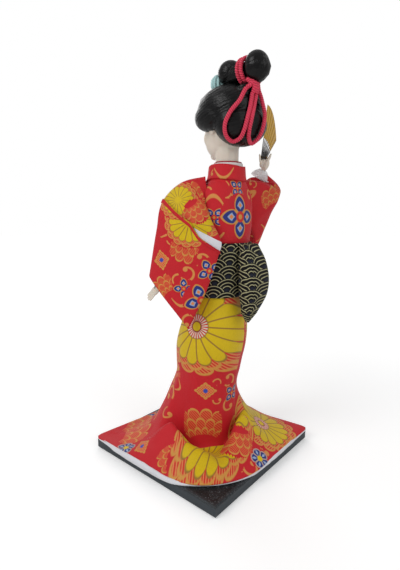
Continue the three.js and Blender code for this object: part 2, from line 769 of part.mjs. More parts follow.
const HAIR_FORMS = [
  { name: "hair_cap", centre: V(0, 2.6, 244.5), size: V(21.5, 24.4, 17.4) },
  { name: "hair_nape_roll", centre: V(0, 13.5, 234.6), size: V(19.6, 15.2, 14) },
  { name: "hair_left_lobe", centre: V(13.6, -0.8, 240.4), size: V(9, 14.6, 9.6) },
  { name: "hair_right_lobe", centre: V(-13.6, -0.8, 240.4), size: V(9, 14.6, 9.6) },
  { name: "hair_front_roll", centre: V(0, -14.5, 252.5), size: V(13.5, 9, 8) },
  { name: "front_bun", centre: V(0, 2.6, 269.4), size: V(8.4, 8.6, 8) },
  { name: "top_bun", centre: V(0, 27.5, 266.8), size: V(8.4, 8.2, 9.6) },
];
const BRIDGE_RADIUS = 6.2; // the hair between the two buns, where the cord is tied
const BRIDGE_HEIGHT = 268;
const BRIDGE_END = 24.5; // the flat front of the top bun
const alongBridge = (from, to, radius) =>
  rod(V(0, from, BRIDGE_HEIGHT), V(0, to, BRIDGE_HEIGHT), radius, 18);

// The cord's wrap: two turns round the hair between the buns.
const WRAP_TURNS = 2;
const WRAP_PITCH = HAIR_CORD + 0.6;
const WRAP_RADIUS = BRIDGE_RADIUS + GAP + HAIR_CORD / 2 + 0.3;
const WRAP_MIDDLE = 18.2; // along the bridge
const WRAP_LEAN = 0.15; // the lower side of the wrap lies further back
const wrapSpace = () =>
  alongBridge(BRIDGE_END - 16, BRIDGE_END, WRAP_RADIUS + HAIR_CORD / 2 + GAP);

function hair() {
  const skinOff = headForm(GAP);
  const earlier = [skinOff];
  for (const form of HAIR_FORMS) {
    let body = egg(form.centre, form.size, 18, 9);
    if (form.name === "hair_cap") body = less(body, faceOpening());
    if (form.name !== "front_bun") body = less(body, wrapSpace());
    else body = join(body, alongBridge(form.centre.y, BRIDGE_END - GAP, BRIDGE_RADIUS));
    node(form.name, less(body, ...earlier), HAIR, 0.25, 0, headGroup);
    earlier.push(egg(form.centre, swollen(form.size, GAP), 18, 9));
  }
}

// Everything of the cap below the hairline: it falls from the forehead to the nape.
function faceOpening() {
  return sheet(1, 1, (u, v, depth) => {
    const y = lerp(-40, 40, v);
    const line = 243 - (y + 22) * 0.42;
    return V(lerp(-40, 40, u), y, depth ? line : 180);
  });
}

const PLEATS = 7;
function hairOrnament() {
  const crumpled = shaped(new THREE.SphereGeometry(1, 28, 6), (p) => {
    const around = Math.atan2(p.z, p.x);
    const pleat = 1 + 0.06 * Math.cos(PLEATS * 2 * around);
    return V(9.6 * p.x * pleat, -9.6 + 5.2 * p.z * pleat, 263 + 6.6 * p.y);
  });
  const cutters = HAIR_FORMS.slice(0, 6).map((form) => egg(form.centre, swollen(form.size, GAP), 18, 9));
  node("hair_ornament", less(crumpled, ...cutters, headForm(GAP)), 0xa9cfd2, 0.6, 0, headGroup);
}

function wrapPoints() {
  const points = [];
  const steps = 32;
  for (let i = 0; i <= steps; i += 1) {
    const run = i / steps;
    const turn = rad(-76) + run * (WRAP_TURNS - 0.08) * 2 * Math.PI;
    points.push(V(
      WRAP_RADIUS * Math.cos(turn),
      WRAP_MIDDLE + WRAP_PITCH * (run - 0.5) * WRAP_TURNS - WRAP_LEAN * WRAP_RADIUS * Math.sin(turn),
      BRIDGE_HEIGHT + WRAP_RADIUS * Math.sin(turn),
    ));
  }
  return points;
}

// The least gap between one turn of the wrap and the next, on points along it.
function wrapGap() {
  const line = new THREE.CatmullRomCurve3(wrapPoints(), false, "centripetal");
  const points = line.getSpacedPoints(400);
  const apart = Math.round((0.5 * 400) / WRAP_TURNS);
  let least = Infinity;
  points.forEach((a, i) => points.slice(i + apart).forEach((b) => {
    least = Math.min(least, a.distanceTo(b));
  }));
  return least - HAIR_CORD;
}

// The hanging loops: each leaves the knot, lies on the hair and comes back to the knot.
const CORD_KNOT = { centre: V(2.4, 26.8, 254.3), size: V(4.6, 2.8, 3.2) };
const LOOPS = {
  cord_loop_left: [V(7.4, 26.2, 253.6), V(9, 26, 251.2), V(11.9, 25, 245.7), V(17.4, 22.4, 238.4),
    V(19.3, 19.9, 231.5), V(16.4, 17.7, 225.3), V(11.4, 18.3, 222.1), V(9.4, 23.2, 223.7), V(9.6, 27.2, 228.5),
    V(9.2, 28.8, 234.8), V(6.5, 27.8, 241.9), V(4.1, 27.4, 250.8)],
  cord_loop_right: [V(-3.2, 26.5, 253.4), V(-4.4, 26.9, 250.8), V(-5.2, 28.1, 246), V(-6.8, 28.7, 239.5),
    V(-4.6, 29.5, 230.5), V(-3.8, 26.1, 224.5), V(-1.4, 22.9, 221.5), V(4, 25.6, 224), V(6.3, 28.4, 228.7),
    V(5.8, 29.8, 235.1), V(2.9, 28.6, 242.3), V(0.5, 27.9, 250.2)],
};

function cords() {
  console.log(`cord_wrap, least gap to itself: ${wrapGap().toFixed(2)} mm`);
  node("cord_wrap", tube(wrapPoints(), HAIR_CORD / 2, 8, 28), CORD_RED, 0.7, 0, headGroup);
  node("cord_knot", egg(CORD_KNOT.centre, CORD_KNOT.size, 14, 10), CORD_RED, 0.7, 0, headGroup);
  for (const [name, points] of Object.entries(LOOPS)) {
    node(name, tube(points, HAIR_CORD / 2, 8, 18), CORD_RED, 0.7, 0, headGroup);
  }
}

// Folding fan.

const STICK_PITCH = STICK_THICK + GAP;
const fanGroup = new THREE.Group();
const rivetWay = FAN_FACE.clone().negate();
fanGroup.matrixAutoUpdate = false;
fanGroup.matrix.makeBasis(FAN_ACROSS, rivetWay.clone().cross(FAN_ACROSS), rivetWay);
fanGroup.matrix.setPosition(FAN_PIVOT);
figure.add(fanGroup);

function stickPlane(outline, layer, angle) {
  const cut = { depth: STICK_THICK, bevelEnabled: false, curveSegments: 3 };
  const geometry = new THREE.ExtrudeGeometry(outline, cut);
  geometry.translate(0, 0, layer * STICK_PITCH);
  return geometry.rotateZ(-rad(angle));
}

function outline(points) {
  const shape = new THREE.Shape();
  points.forEach(([x, y], n) => (n ? shape.lineTo(x, y) : shape.moveTo(x, y)));
  shape.closePath();
  return shape;
}

function fan() {
  const half = STICK_WIDTH / 2;
  const neck = half * 0.7;
  const rib = RIB_WIDTH / 2;
  const ribEnd = FAN_RADIUS - LEAF_RIM;
  const pane = rad(FAN_STEP / 2 - 0.25);
  const slot = rib + GAP;
  const arc = (turn, reach) => [reach * Math.sin(turn), reach * Math.cos(turn)];
  for (let n = 0; n < FAN_STICKS; n += 1) {
    const angle = FAN_FIRST + n * FAN_STEP;
    const layer = n - (FAN_STICKS - 1) / 2;
    const stick = outline([
      [-half, -STICK_TAIL], [half, -STICK_TAIL], [neck, LEAF_START - GAP], [rib, LEAF_START - GAP],
      [rib, ribEnd], [-rib, ribEnd], [-rib, LEAF_START - GAP], [-neck, LEAF_START - GAP],
    ]);
    const hole = new THREE.Path();
    hole.absarc(0, 0, RIVET_RADIUS + GAP, 0, 2 * Math.PI, true);
    stick.holes.push(hole);
    node(`fan_stick_${n + 1}`, stickPlane(stick, layer, angle), BLACK, 0.3, 0, fanGroup);

    const leaf = outline([
      arc(-pane, LEAF_START), [-slot, LEAF_START * Math.cos(pane)], [-slot, ribEnd + GAP],
      [slot, ribEnd + GAP], [slot, LEAF_START * Math.cos(pane)], arc(pane, LEAF_START),
      arc(pane, FAN_RADIUS), [0, FAN_RADIUS], arc(-pane, FAN_RADIUS),
    ]);
    node(`fan_leaf_${n + 1}`, stickPlane(leaf, layer, angle), GOLD, 0.35, 0.6, fanGroup);
  }
  const low = -((FAN_STICKS - 1) / 2) * STICK_PITCH - GAP;
  const high = -low + STICK_THICK;
  const rivet = join(
    rod(V(0, 0, low), V(0, 0, high), RIVET_RADIUS, 12),
    rod(V(0, 0, low - RIVET_HEAD), V(0, 0, low), RIVET_RADIUS * 2, 12),
    rod(V(0, 0, high), V(0, 0, high + RIVET_HEAD), RIVET_RADIUS * 2, 12),
  );
  node("fan_rivet", rivet, GOLD, 0.3, 1, fanGroup);
}

basePlate();
footPins();
cores();
skirt();
bodice();
obiBelt();
obiKnot();
collars();
arms();
sleeves();
handsAndCuffs();
head();
hair();
hairOrnament();
cords();
fan();

export default doll;
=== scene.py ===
import math

import bmesh
import bpy
from mathutils import Matrix, Vector, noise
from mathutils.bvhtree import BVHTree


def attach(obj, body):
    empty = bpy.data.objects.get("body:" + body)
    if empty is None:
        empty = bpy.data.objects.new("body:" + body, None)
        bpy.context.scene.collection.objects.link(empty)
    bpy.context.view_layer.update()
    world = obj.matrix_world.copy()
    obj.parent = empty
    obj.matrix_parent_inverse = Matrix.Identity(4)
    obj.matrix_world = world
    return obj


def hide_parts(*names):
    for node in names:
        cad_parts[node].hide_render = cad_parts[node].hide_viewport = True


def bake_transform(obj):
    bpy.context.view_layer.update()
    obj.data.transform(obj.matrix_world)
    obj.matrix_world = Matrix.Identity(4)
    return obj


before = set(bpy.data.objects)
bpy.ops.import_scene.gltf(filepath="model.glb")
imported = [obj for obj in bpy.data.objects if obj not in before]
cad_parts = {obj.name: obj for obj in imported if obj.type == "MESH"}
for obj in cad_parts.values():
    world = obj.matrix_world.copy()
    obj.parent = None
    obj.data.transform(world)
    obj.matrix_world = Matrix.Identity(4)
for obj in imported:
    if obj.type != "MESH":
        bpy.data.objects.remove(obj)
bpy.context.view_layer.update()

# A geisha doll on its square base: red brocade kimono with a train, black and gold obi, dressed
# hair with cords, and an open fan. It faces -Y and its left side is +X.
#
# Millimetres. Heights of the doll's own forms are taken from the top of the base.

MM = 0.001
BASE_TOP = 7.8
FULL_TURN = 2 * math.pi
MAP_MM = 100  # what one unit of a piece's weave map stands for


def V(x, y, z=0.0):
    return Vector((x, y, z))


def turned(degrees):
    return Matrix.Rotation(math.radians(degrees), 4, "Z")


FIGURE = Matrix.Scale(MM, 4) @ Matrix.Translation((0, 0, BASE_TOP))


def lerp(a, b, part):
    return a + (b - a) * part


def clamp(value, low=0.0, high=1.0):
    return min(max(value, low), high)


def ease(value, low, high):
    part = clamp((value - low) / (high - low))
    return part * part * (3 - 2 * part)


def hump(value, middle, width):
    return math.exp(-(((value - middle) / width) ** 2))


def squared(value, power):
    return math.copysign(abs(value) ** power, value)


def through(rows):
    """Cubic through rows (key, value, value, ...): gives the values at a key."""

    def slope(i, k):
        a, b = rows[max(i - 1, 0)], rows[min(i + 1, len(rows) - 1)]
        return (b[k] - a[k]) / (b[0] - a[0])

    def values(key):
        i = 0
        while i < len(rows) - 2 and rows[i + 1][0] <= key:
            i += 1
        p, q = rows[i], rows[i + 1]
        span = q[0] - p[0]
        u = clamp((key - p[0]) / span)
        out = []
        for k in range(1, len(p)):
            m0, m1 = slope(i, k) * span, slope(i + 1, k) * span
            out.append(
                (2 * u**3 - 3 * u**2 + 1) * p[k]
                + (u**3 - 2 * u**2 + u) * m0
                + (3 * u**2 - 2 * u**3) * q[k]
                + (u**3 - u**2) * m1
            )
        return out

    return values


def line_through(points):
    """Smooth line through points: gives the place at 0 to 1 along it."""
    last = len(points) - 1

    def place(t):
        run = clamp(t) * last
        i = min(int(run), last - 1)
        w = run - i
        p1, p2 = points[i], points[i + 1]
        p0 = points[i - 1] if i else p1 * 2 - p2
        p3 = points[i + 2] if i + 2 <= last else p2 * 2 - p1
        d1 = (p2 - p1).length_squared ** 0.25 or 1.0
        d0 = (p1 - p0).length_squared ** 0.25 or d1
        d2 = (p3 - p2).length_squared ** 0.25 or d1
        t1 = ((p1 - p0) / d0 - (p2 - p0) / (d0 + d1) + (p2 - p1) / d1) * d1
        t2 = ((p2 - p1) / d1 - (p3 - p1) / (d1 + d2) + (p3 - p2) / d2) * d1
        return (
            p1
            + t1 * w
            + (p1 * -3 + p2 * 3 - t1 * 2 - t2) * w**2
            + (p1 * 2 - p2 * 2 + t1 + t2) * w**3
        )

    return place


def spaced(points, count):
    """Points at even distances along the smooth line through these."""
    place = line_through(points)
    fine = [place(i / 600) for i in range(601)]
    runs = [0.0]
    for a, b in zip(fine, fine[1:]):
        runs.append(runs[-1] + (b - a).length)
    out, k = [], 0
    for i in range(count + 1):
        want = runs[-1] * i / count
        while k < 599 and runs[k + 1] < want:
            k += 1
        part = clamp((want - runs[k]) / ((runs[k + 1] - runs[k]) or 1))
        out.append(fine[k].lerp(fine[k + 1], part))
    return out


def capped(v, over):
    """For a closed skin with v from 0 to 1 along it: how far along a place is, and how open the
    skin is there. Its ends close over a little before 0 and after 1."""
    run = lerp(-over, 1 + over, v)
    return clamp(run), 1 - ease(max(-run, run - 1), 0, over)


def length_of(points):
    return sum((b - a).length for a, b in zip(points, points[1:]))


# The camera, at the photograph's own place and angle.

EYE = V(230.58, 194.66, 181.09)
LOOK = V(-0.7477, -0.6430, -0.1647).normalized()
PICTURE = (400, 570)
FOCAL = PICTURE[0] / PICTURE[1]  # of the picture's longer side
ROLL = -0.11  # degrees



def looking(way):
    """The turn of a camera or a lamp that looks along a way."""
    return way.to_track_quat("-Z", "Y").to_matrix().to_4x4()


eye = bpy.data.cameras.new("camera")
eye.sensor_width = 36
eye.lens = eye.sensor_width * FOCAL
eye.clip_start = 0.01
camera = bpy.data.objects.new("camera", eye)
bpy.context.scene.collection.objects.link(camera)
camera.matrix_world = Matrix.Translation(EYE * MM) @ looking(LOOK) @ turned(ROLL)
bpy.context.scene.camera = camera


def seen(u, v):
    """The line of sight through a place in the picture, in the figure's own millimetres."""
    turn = camera.matrix_world.to_3x3()
    longer = FOCAL * PICTURE[1]
    way = turn @ V((u - PICTURE[0] / 2) / longer, (PICTURE[1] / 2 - v) / longer, -1)
    return EYE - V(0, 0, BASE_TOP), way.normalized()


# Making nodes.


class Bench:
    """Adds nodes to one tree. A value is a number, a tuple or another node's output."""

    def __init__(self, tree):
        self.tree = tree

    def node(self, kind, inputs=(), **settings):
        made = self.tree.nodes.new(kind)
        for key, value in settings.items():
            setattr(made, key, value)
        for key, value in dict(inputs).items():
            self.put(made.inputs[key], value)
        return made

    def put(self, socket, value):
        if isinstance(value, bpy.types.NodeSocket):
            self.tree.links.new(value, socket)
        else:
            socket.default_value = value

    def sum(self, operation, a, b=0.0, c=0.0, hold=False):
        """A node of arithmetic. Held, its result stays from 0 to 1."""
        made = self.node("ShaderNodeMath", {0: a, 1: b, 2: c}, operation=operation, use_clamp=hold)
        return made.outputs[0]

    def add(self, a, b, hold=False):
        return self.sum("ADD", a, b, hold=hold)

    def less(self, a, b, hold=False):
        return self.sum("SUBTRACT", a, b, hold=hold)

    def fit(self, value, by, plus):
        return self.sum("MULTIPLY_ADD", value, by, plus)

    def size(self, value):
        """A value without its sign."""
        return self.sum("ABSOLUTE", value)

    def far(self, x, y):
        return self.sum("SQRT", self.add(self.times(x, x), self.times(y, y)))

    def times(self, *parts):
        """A product: of masks, where all of them hold."""
        out = parts[0]
        for part in parts[1:]:
            out = self.sum("MULTIPLY", out, part)
        return out

    def any_of(self, *masks):
        out = masks[0]
        for mask in masks[1:]:
            out = self.sum("MAXIMUM", out, mask)
        return out

    def below(self, value, limit, soft=0.02):
        """1 where the value is under the limit, 0 over it."""
        made = self.node(
            "ShaderNodeMapRange",
            {"Value": self.less(value, limit), "From Min": soft, "From Max": -soft},
        )
        return made.outputs[0]

    def near(self, value, middle, limit, soft=0.02):
        """1 where the value is within a limit of a middle."""
        return self.below(self.size(self.less(value, middle)), limit, soft)

    def mix(self, part, a, b):
        made = self.node("ShaderNodeMix", data_type="RGBA")
        self.put(made.inputs[0], part)
        self.put(made.inputs[6], a)
        self.put(made.inputs[7], b)
        return made.outputs[2]

    def mix_value(self, part, a, b):
        return self.node("ShaderNodeMix", {0: part, 2: a, 3: b}).outputs[0]

    def scaled(self, vector, by):
        made = self.node("ShaderNodeVectorMath", {0: vector, "Scale": by}, operation="SCALE")
        return made.outputs[0]

    def apart(self, vector):
        made = self.node("ShaderNodeSeparateXYZ", {0: vector})
        return made.outputs[0], made.outputs[1], made.outputs[2]

    def join(self, x, y, z=0.0):
        return self.node("ShaderNodeCombineXYZ", {0: x, 1: y, 2: z}).outputs[0]

    def cloudy(self, vector, scale, detail=2.0, rough=0.5):
        made = self.node(
            "ShaderNodeTexNoise",
            {"Vector": vector, "Scale": scale, "Detail": detail, "Roughness": rough},
        )
        return made.outputs["Fac"]

    def use(self, group, **inputs):
        made = self.node("ShaderNodeGroup", node_tree=group)
        for key, value in inputs.items():
            self.put(made.inputs[key.replace("_", " ")], value)
        return made.outputs

    def uv(self, name="UVMap"):
        return self.node("ShaderNodeUVMap", uv_map=name).outputs[0]

    def own(self, location=(0, 0, 0), rotation=(0, 0, 0), scale=(MM, MM, MM)):
        """Places on the piece in millimetres from a point, turned as given."""
        place = self.node("ShaderNodeTexCoord").outputs["Object"]
        made = self.node(
            "ShaderNodeMapping",
            {"Vector": place, "Location": location, "Rotation": rotation, "Scale": scale},
            vector_type="TEXTURE",
        )
        return made.outputs[0]


def effect(name, inputs, outputs, draw):
    """A node group. Its sockets go by name and kind, and draw(bench, *inputs) gives its outputs."""
    tree = bpy.data.node_groups.new(name, "ShaderNodeTree")
    for way, sockets in (("INPUT", inputs), ("OUTPUT", outputs)):
        for word, kind in sockets.items():
            tree.interface.new_socket(word, in_out=way, socket_type="NodeSocket" + kind)
    b = Bench(tree)
    start, end = b.node("NodeGroupInput"), b.node("NodeGroupOutput")
    for word, value in zip(outputs, draw(b, *[start.outputs[word] for word in inputs])):
        b.put(end.inputs[word], value)
    return tree


def colour(red, green, blue):
    """A colour as seen, 0 to 255, as linear light."""

    def part(value):
        value /= 255
        return value / 12.92 if value < 0.04045 else ((value + 0.055) / 1.055) ** 2.4

    return part(red), part(green), part(blue), 1.0


RED = colour(192, 20, 32)
DEEP_RED = colour(128, 18, 28)
ORANGE = colour(204, 44, 32)
YELLOW = colour(218, 188, 8)
DEEP_YELLOW = colour(188, 152, 4)
OLIVE = colour(152, 112, 42)
GOLD = colour(206, 146, 66)
PALE_GOLD = colour(216, 134, 76)
NAVY = colour(32, 48, 122)
BRIGHT_BLUE = colour(52, 74, 170)
PALE_BLUE = colour(150, 172, 205)
WHITE = colour(226, 226, 230)
CREAM = colour(214, 205, 186)


# Effects that several finishes share.


def crossed_threads(b, at, per_mm):
    """Crossed threads: their height, and a shade that differs from thread to thread."""
    x, y, _ = b.apart(at)
    step = b.times(per_mm, FULL_TURN)
    warp, weft = (b.sum("SINE", b.times(way, step)) for way in (x, y))
    drawn = b.join(b.times(x, per_mm), b.times(y, 0.35))
    return b.fit(b.times(warp, weft), 0.5, 0.5), b.fit(b.cloudy(drawn, 1.3, 3, 0.6), 0.5, 0.25)


def dust_and_rubbing(b, at):
    """Faint dust and rubbing: a slow mask and a fine one."""
    return b.cloudy(at, 0.06, 3, 0.55), b.cloudy(at, 1.1, 2, 0.6)


def round_middle(b, at):
    """Distance from a middle, and how far round it from 0 to 1."""
    x, y, _ = b.apart(at)
    return b.far(x, y), b.fit(b.sum("ARCTAN2", y, x), 1 / FULL_TURN, 0.5)


def petals_round(b, turn, count):
    """Petals round a middle: from 0 on a petal's line to 1 at its side, and its rounded end from 0
    to 1, the highest on the line."""
    across = b.size(b.fit(b.sum("FRACT", b.times(turn, count)), 2, -1))
    return across, b.sum("SQRT", b.less(1, b.times(across, across), hold=True))


def hatching(b, at, lines):
    """Slanting strokes: one set, and two crossed sets."""
    x, y, _ = b.apart(at)
    strokes, crossing = (
        b.near(b.sum("FRACT", b.times(b.sum(way, x, y), lines)), 0.5, 0.2, 0.1)
        for way in ("ADD", "SUBTRACT")
    )
    return strokes, b.any_of(strokes, crossing)


PLACE, NUMBER = "Vector", "Float"
THREADS = effect(
    "threads", {"Vector": PLACE, "Per mm": NUMBER}, {"Height": NUMBER, "Shade": NUMBER},
    crossed_threads,
)
WEAR = effect("wear", {"Vector": PLACE}, {"Slow": NUMBER, "Fine": NUMBER}, dust_and_rubbing)
ROUND = effect("round", {"Vector": PLACE}, {"Reach": NUMBER, "Turn": NUMBER}, round_middle)
PETALS = effect(
    "petals", {"Turn": NUMBER, "Count": NUMBER}, {"Across": NUMBER, "Tip": NUMBER}, petals_round
)
HATCH = effect(
    "hatch", {"Vector": PLACE, "Lines": NUMBER}, {"Strokes": NUMBER, "Net": NUMBER}, hatching
)


# The woven motifs. Each is drawn at a place from -1 to 1, and gives its colour and its mask. Reach
# is the distance from its middle, turn is how far round it.


def line_between(b, petals, reach, wide, soft):
    """The line between two petals, as wide at the middle as at the tips."""
    return b.below(b.times(b.less(1, petals["Across"]), reach), wide, soft)


def discs(b, shade, reach, rows):
    """Discs laid on a shade: radius, softness and colour of each."""
    for radius, soft, tint in rows:
        shade = b.mix(b.below(reach, radius, soft), shade, tint)
    return shade


def open_petals(b, at, reach, turn):
    """Sixteen long yellow petals with round ends, and two rows of hatched scales edged with
    gold."""
    petals = b.use(PETALS, Turn=turn, Count=16)
    scales = b.use(PETALS, Turn=turn, Count=15)
    outer = b.use(PETALS, Turn=b.add(turn, 1 / 30), Count=15)
    edge = b.fit(petals["Tip"], 0.17, 0.63)
    near_edge = b.fit(scales["Tip"], 0.12, 0.75)
    far_edge = b.fit(outer["Tip"], 0.13, 0.86)
    shade = b.mix(b.use(HATCH, Vector=at, Lines=13)["Strokes"], ORANGE, PALE_GOLD)
    rims = [b.near(line, reach, 0.026, 0.012) for line in (near_edge, b.less(far_edge, 0.02))]
    sides = b.times(line_between(b, outer, reach, 0.06, 0.02), b.below(near_edge, reach))
    shade = b.mix(b.any_of(*rims, sides), shade, GOLD)
    borders = b.any_of(
        line_between(b, petals, reach, 0.075, 0.03), b.below(b.less(edge, reach), 0.03, 0.012)
    )
    borders = b.times(borders, b.below(0.2, reach, 0.06))
    grain = b.cloudy(b.join(b.times(petals["Across"], 3.0), b.times(reach, 1.2)), 3.0, 2)
    petal = b.mix(b.mix_value(grain, 0.0, 0.5), YELLOW, DEEP_YELLOW)
    shade = b.mix(b.below(reach, edge, 0.01), shade, b.mix(borders, petal, OLIVE))
    return shade, b.below(reach, far_edge, 0.012)


def chrysanthemum(b, at, reach, turn):
    """The open petals with a striped ring in their middle."""
    shade, mask = open_petals(b, at, reach, turn)
    stripes = b.use(PETALS, Turn=turn, Count=24)
    striped = b.mix(b.below(stripes["Across"], 0.5, 0.14), ORANGE, CREAM)
    rings = ((0.255, OLIVE), (0.235, striped), (0.115, DEEP_RED), (0.09, YELLOW))
    return discs(b, shade, reach, [(radius, 0.01, tint) for radius, tint in rings]), mask


def blue_flower(b, at, reach, turn):
    """Four pointed blue petals with a thick gold edge and a pale heart, round a red boss."""
    petals = b.use(PETALS, Turn=b.add(turn, 0.125), Count=4)
    edge = b.less(0.98, b.times(b.sum("POWER", petals["Across"], 1.3), 0.56))
    inside = b.less(edge, reach)
    off = b.add(b.times(petals["Across"], 0.9), b.times(b.size(b.less(reach, 0.5)), 2.2))
    shade = discs(b, NAVY, off, [(0.42, 0.05, PALE_BLUE), (0.26, 0.05, PALE_GOLD)])
    lines = b.any_of(b.below(inside, 0.085, 0.02), line_between(b, petals, reach, 0.09, 0.03))
    shade = discs(b, b.mix(lines, shade, GOLD), reach, [(0.24, 0.02, ORANGE), (0.11, 0.02, GOLD)])
    return shade, b.below(0.0, inside, 0.012)


def floret(b, at, reach, turn):
    """A small flower: five blue petals edged with gold and pale blue, and a yellow middle."""
    petals = b.use(PETALS, Turn=turn, Count=5)
    inside = b.less(b.fit(petals["Tip"], 0.3, 0.66), reach)
    off = b.add(b.times(petals["Across"], 0.8), b.size(b.less(reach, 0.55)))
    shade = b.mix(b.below(off, 0.28, 0.06), NAVY, PALE_BLUE)
    lines = b.any_of(line_between(b, petals, reach, 0.1, 0.04), b.below(inside, 0.13, 0.03))
    shade = b.mix(lines, shade, b.mix(0.4, GOLD, PALE_BLUE))
    return discs(b, shade, reach, [(0.27, 0.03, YELLOW)]), b.below(0.0, inside, 0.02)


def curl(b, at, reach, turn):
    """A gold hook, three quarters of a turn, that thickens to a ball at its end."""
    x, y, _ = b.apart(at)
    thick = b.fit(b.size(b.less(turn, 0.62)), -0.12, 0.14)
    arc = b.times(b.near(reach, 0.76, thick, 0.04), b.below(0.28, turn, 0.01))
    ball_reach = b.use(ROUND, Vector=b.join(b.add(x, 0.56), y))["Reach"]
    mask = b.any_of(arc, b.below(ball_reach, 0.27, 0.04))
    return b.mix(b.cloudy(at, 6.0), GOLD, PALE_GOLD), mask


def festoon(b, at, reach, turn):
    """A deep gold bow that hangs from its two ends, thickest in the middle."""
    x, y, _ = b.apart(at)
    hung, thick = b.fit(b.times(x, x), 1.15, -0.6), b.fit(b.times(x, x), -0.06, 0.15)
    mask = b.times(b.near(y, hung, thick, 0.04), b.below(reach, 0.95, 0.02))
    return b.mix(b.cloudy(at, 5.0), GOLD, PALE_GOLD), mask


def hatched_leaf(b, at, reach, turn):
    """A lozenge with scalloped sides, filled with strokes, and a blue eye."""
    x, y, _ = b.apart(at)
    wide, high = b.times(b.size(x), 1.25), b.size(y)
    bays = b.times(b.size(b.sum("SINE", b.times(b.less(wide, high), 6.0))), 0.1)
    inside = b.less(b.add(0.88, bays), b.add(wide, high))
    shade = b.mix(b.use(HATCH, Vector=at, Lines=4.5)["Net"], ORANGE, PALE_GOLD)
    shade = b.mix(b.below(inside, 0.17, 0.03), shade, GOLD)
    return discs(b, shade, reach, [(0.19, 0.03, BRIGHT_BLUE)]), b.below(0.0, inside, 0.02)


def scales(b, at, reach, turn):
    """Three rows of hatched scales edged with gold, that spread out from a point below."""
    count = 21  # of scales in a whole turn
    x, y, _ = b.apart(at)
    place = b.use(ROUND, Vector=b.join(x, b.add(y, 1.5)))
    far, turn = place["Reach"], place["Turn"]
    strokes = b.times(b.use(HATCH, Vector=at, Lines=7)["Strokes"], 0.6)
    hatched = b.mix(strokes, ORANGE, PALE_GOLD)
    shade, mask = ORANGE, 0.0
    for start, shift in ((2.0, 0), (1.5, 0.5 / count), (1.0, 0)):
        scale = b.use(PETALS, Turn=b.add(turn, shift), Count=count)
        edge = b.fit(scale["Tip"], 0.4, start)
        rim = b.any_of(
            b.near(b.less(edge, 0.05), far, 0.06, 0.02),
            b.times(line_between(b, scale, far, 0.08, 0.03), b.below(start - 0.2, far)),
        )
        here = b.below(far, edge, 0.02)
        shade = b.mix(here, shade, b.mix(rim, hatched, GOLD))
        mask = b.any_of(mask, here)
    return shade, b.times(mask, b.below(b.size(x), 0.95, 0.02), b.below(1.0, far, 0.02))


def motif(name, draw):
    def drawn(b, at):
        place = b.use(ROUND, Vector=at)
        return draw(b, at, place["Reach"], place["Turn"])

    return effect(name, {"Vector": PLACE}, {"Color": "Color", "Mask": NUMBER}, drawn)


DRAWN = (chrysanthemum, open_petals, blue_flower, floret, curl, festoon, hatched_leaf, scales)
KINDS = [draw.__name__.replace("_", " ") for draw in DRAWN]
MOTIFS = {kind: motif(kind, draw) for kind, draw in zip(KINDS, DRAWN)}
KIND_STEP = 10  # a motif's place in its map is shifted by this much for each kind


def wave_scales(b, at, size):
    """Rows of overlapping scales, each of several arcs. A scale's middle lies on a row every half
    a radius, and the lowest row that reaches a place shows there."""
    x, y = (b.sum("DIVIDE", way, size) for way in b.apart(at)[:2])
    row = b.sum("FLOOR", b.times(y, 2))
    reaches = []
    for back in (1, 0):
        here = b.less(row, back)
        shift = b.size(b.sum("MODULO", here, 2))
        across = b.less(b.sum("WRAP", b.add(x, shift), 2.0, 0.0), 1)
        reaches.append(b.far(across, b.less(y, b.times(here, 0.5))))
    lower, upper = reaches
    reach = b.mix_value(b.below(lower, 1.0, 0.001), upper, lower)
    arcs = b.near(b.sum("FRACT", b.times(reach, 4.0)), 0.62, 0.115, 0.06)
    return b.times(arcs, b.below(0.22, reach, 0.02)), b.below(reach, 0.25, 0.03)


def combed_strands(b, at, fineness):
    """Combed hair: fine lines that rise from the face to the back of the head, and slow locks."""
    x, y, z = b.apart(at)
    turn = b.sum("ARCTAN2", b.size(x), b.times(y, -1.0))
    waver = b.times(b.cloudy(at, 0.05, 1), 2.0)
    across = b.add(b.fit(turn, -7.0, z), waver)
    lay = b.join(b.times(across, fineness), turn)
    return b.cloudy(lay, 3.2, 3, 0.6), b.cloudy(lay, 0.7, 1, 0.5)


WAVES = effect(
    "wave scales", {"Vector": PLACE, "Size": NUMBER}, {"Line": NUMBER, "Core": NUMBER}, wave_scales
)
STRANDS = effect(
    "strands", {"Vector": PLACE, "Fineness": NUMBER}, {"Height": NUMBER, "Locks": NUMBER},
    combed_strands,
)


# Finishes.


class Finish(Bench):
    """A material with one shader."""

    def __init__(self, name, base, roughness, **settings):
        self.material = bpy.data.materials.new(name)
        self.material.use_nodes = True
        super().__init__(self.material.node_tree)
        self.shader = self.tree.nodes["Principled BSDF"]
        self.set("Base Color", base)
        self.set("Roughness", roughness)
        for key, value in settings.items():
            self.set(key.replace("_", " "), value)

    def set(self, name, value):
        self.put(self.shader.inputs[name], value)

    def bump(self, height, distance, strength=1.0):
        given = {"Height": height, "Distance": distance * MM, "Strength": strength}
        self.set("Normal", self.node("ShaderNodeBump", given).outputs[0])


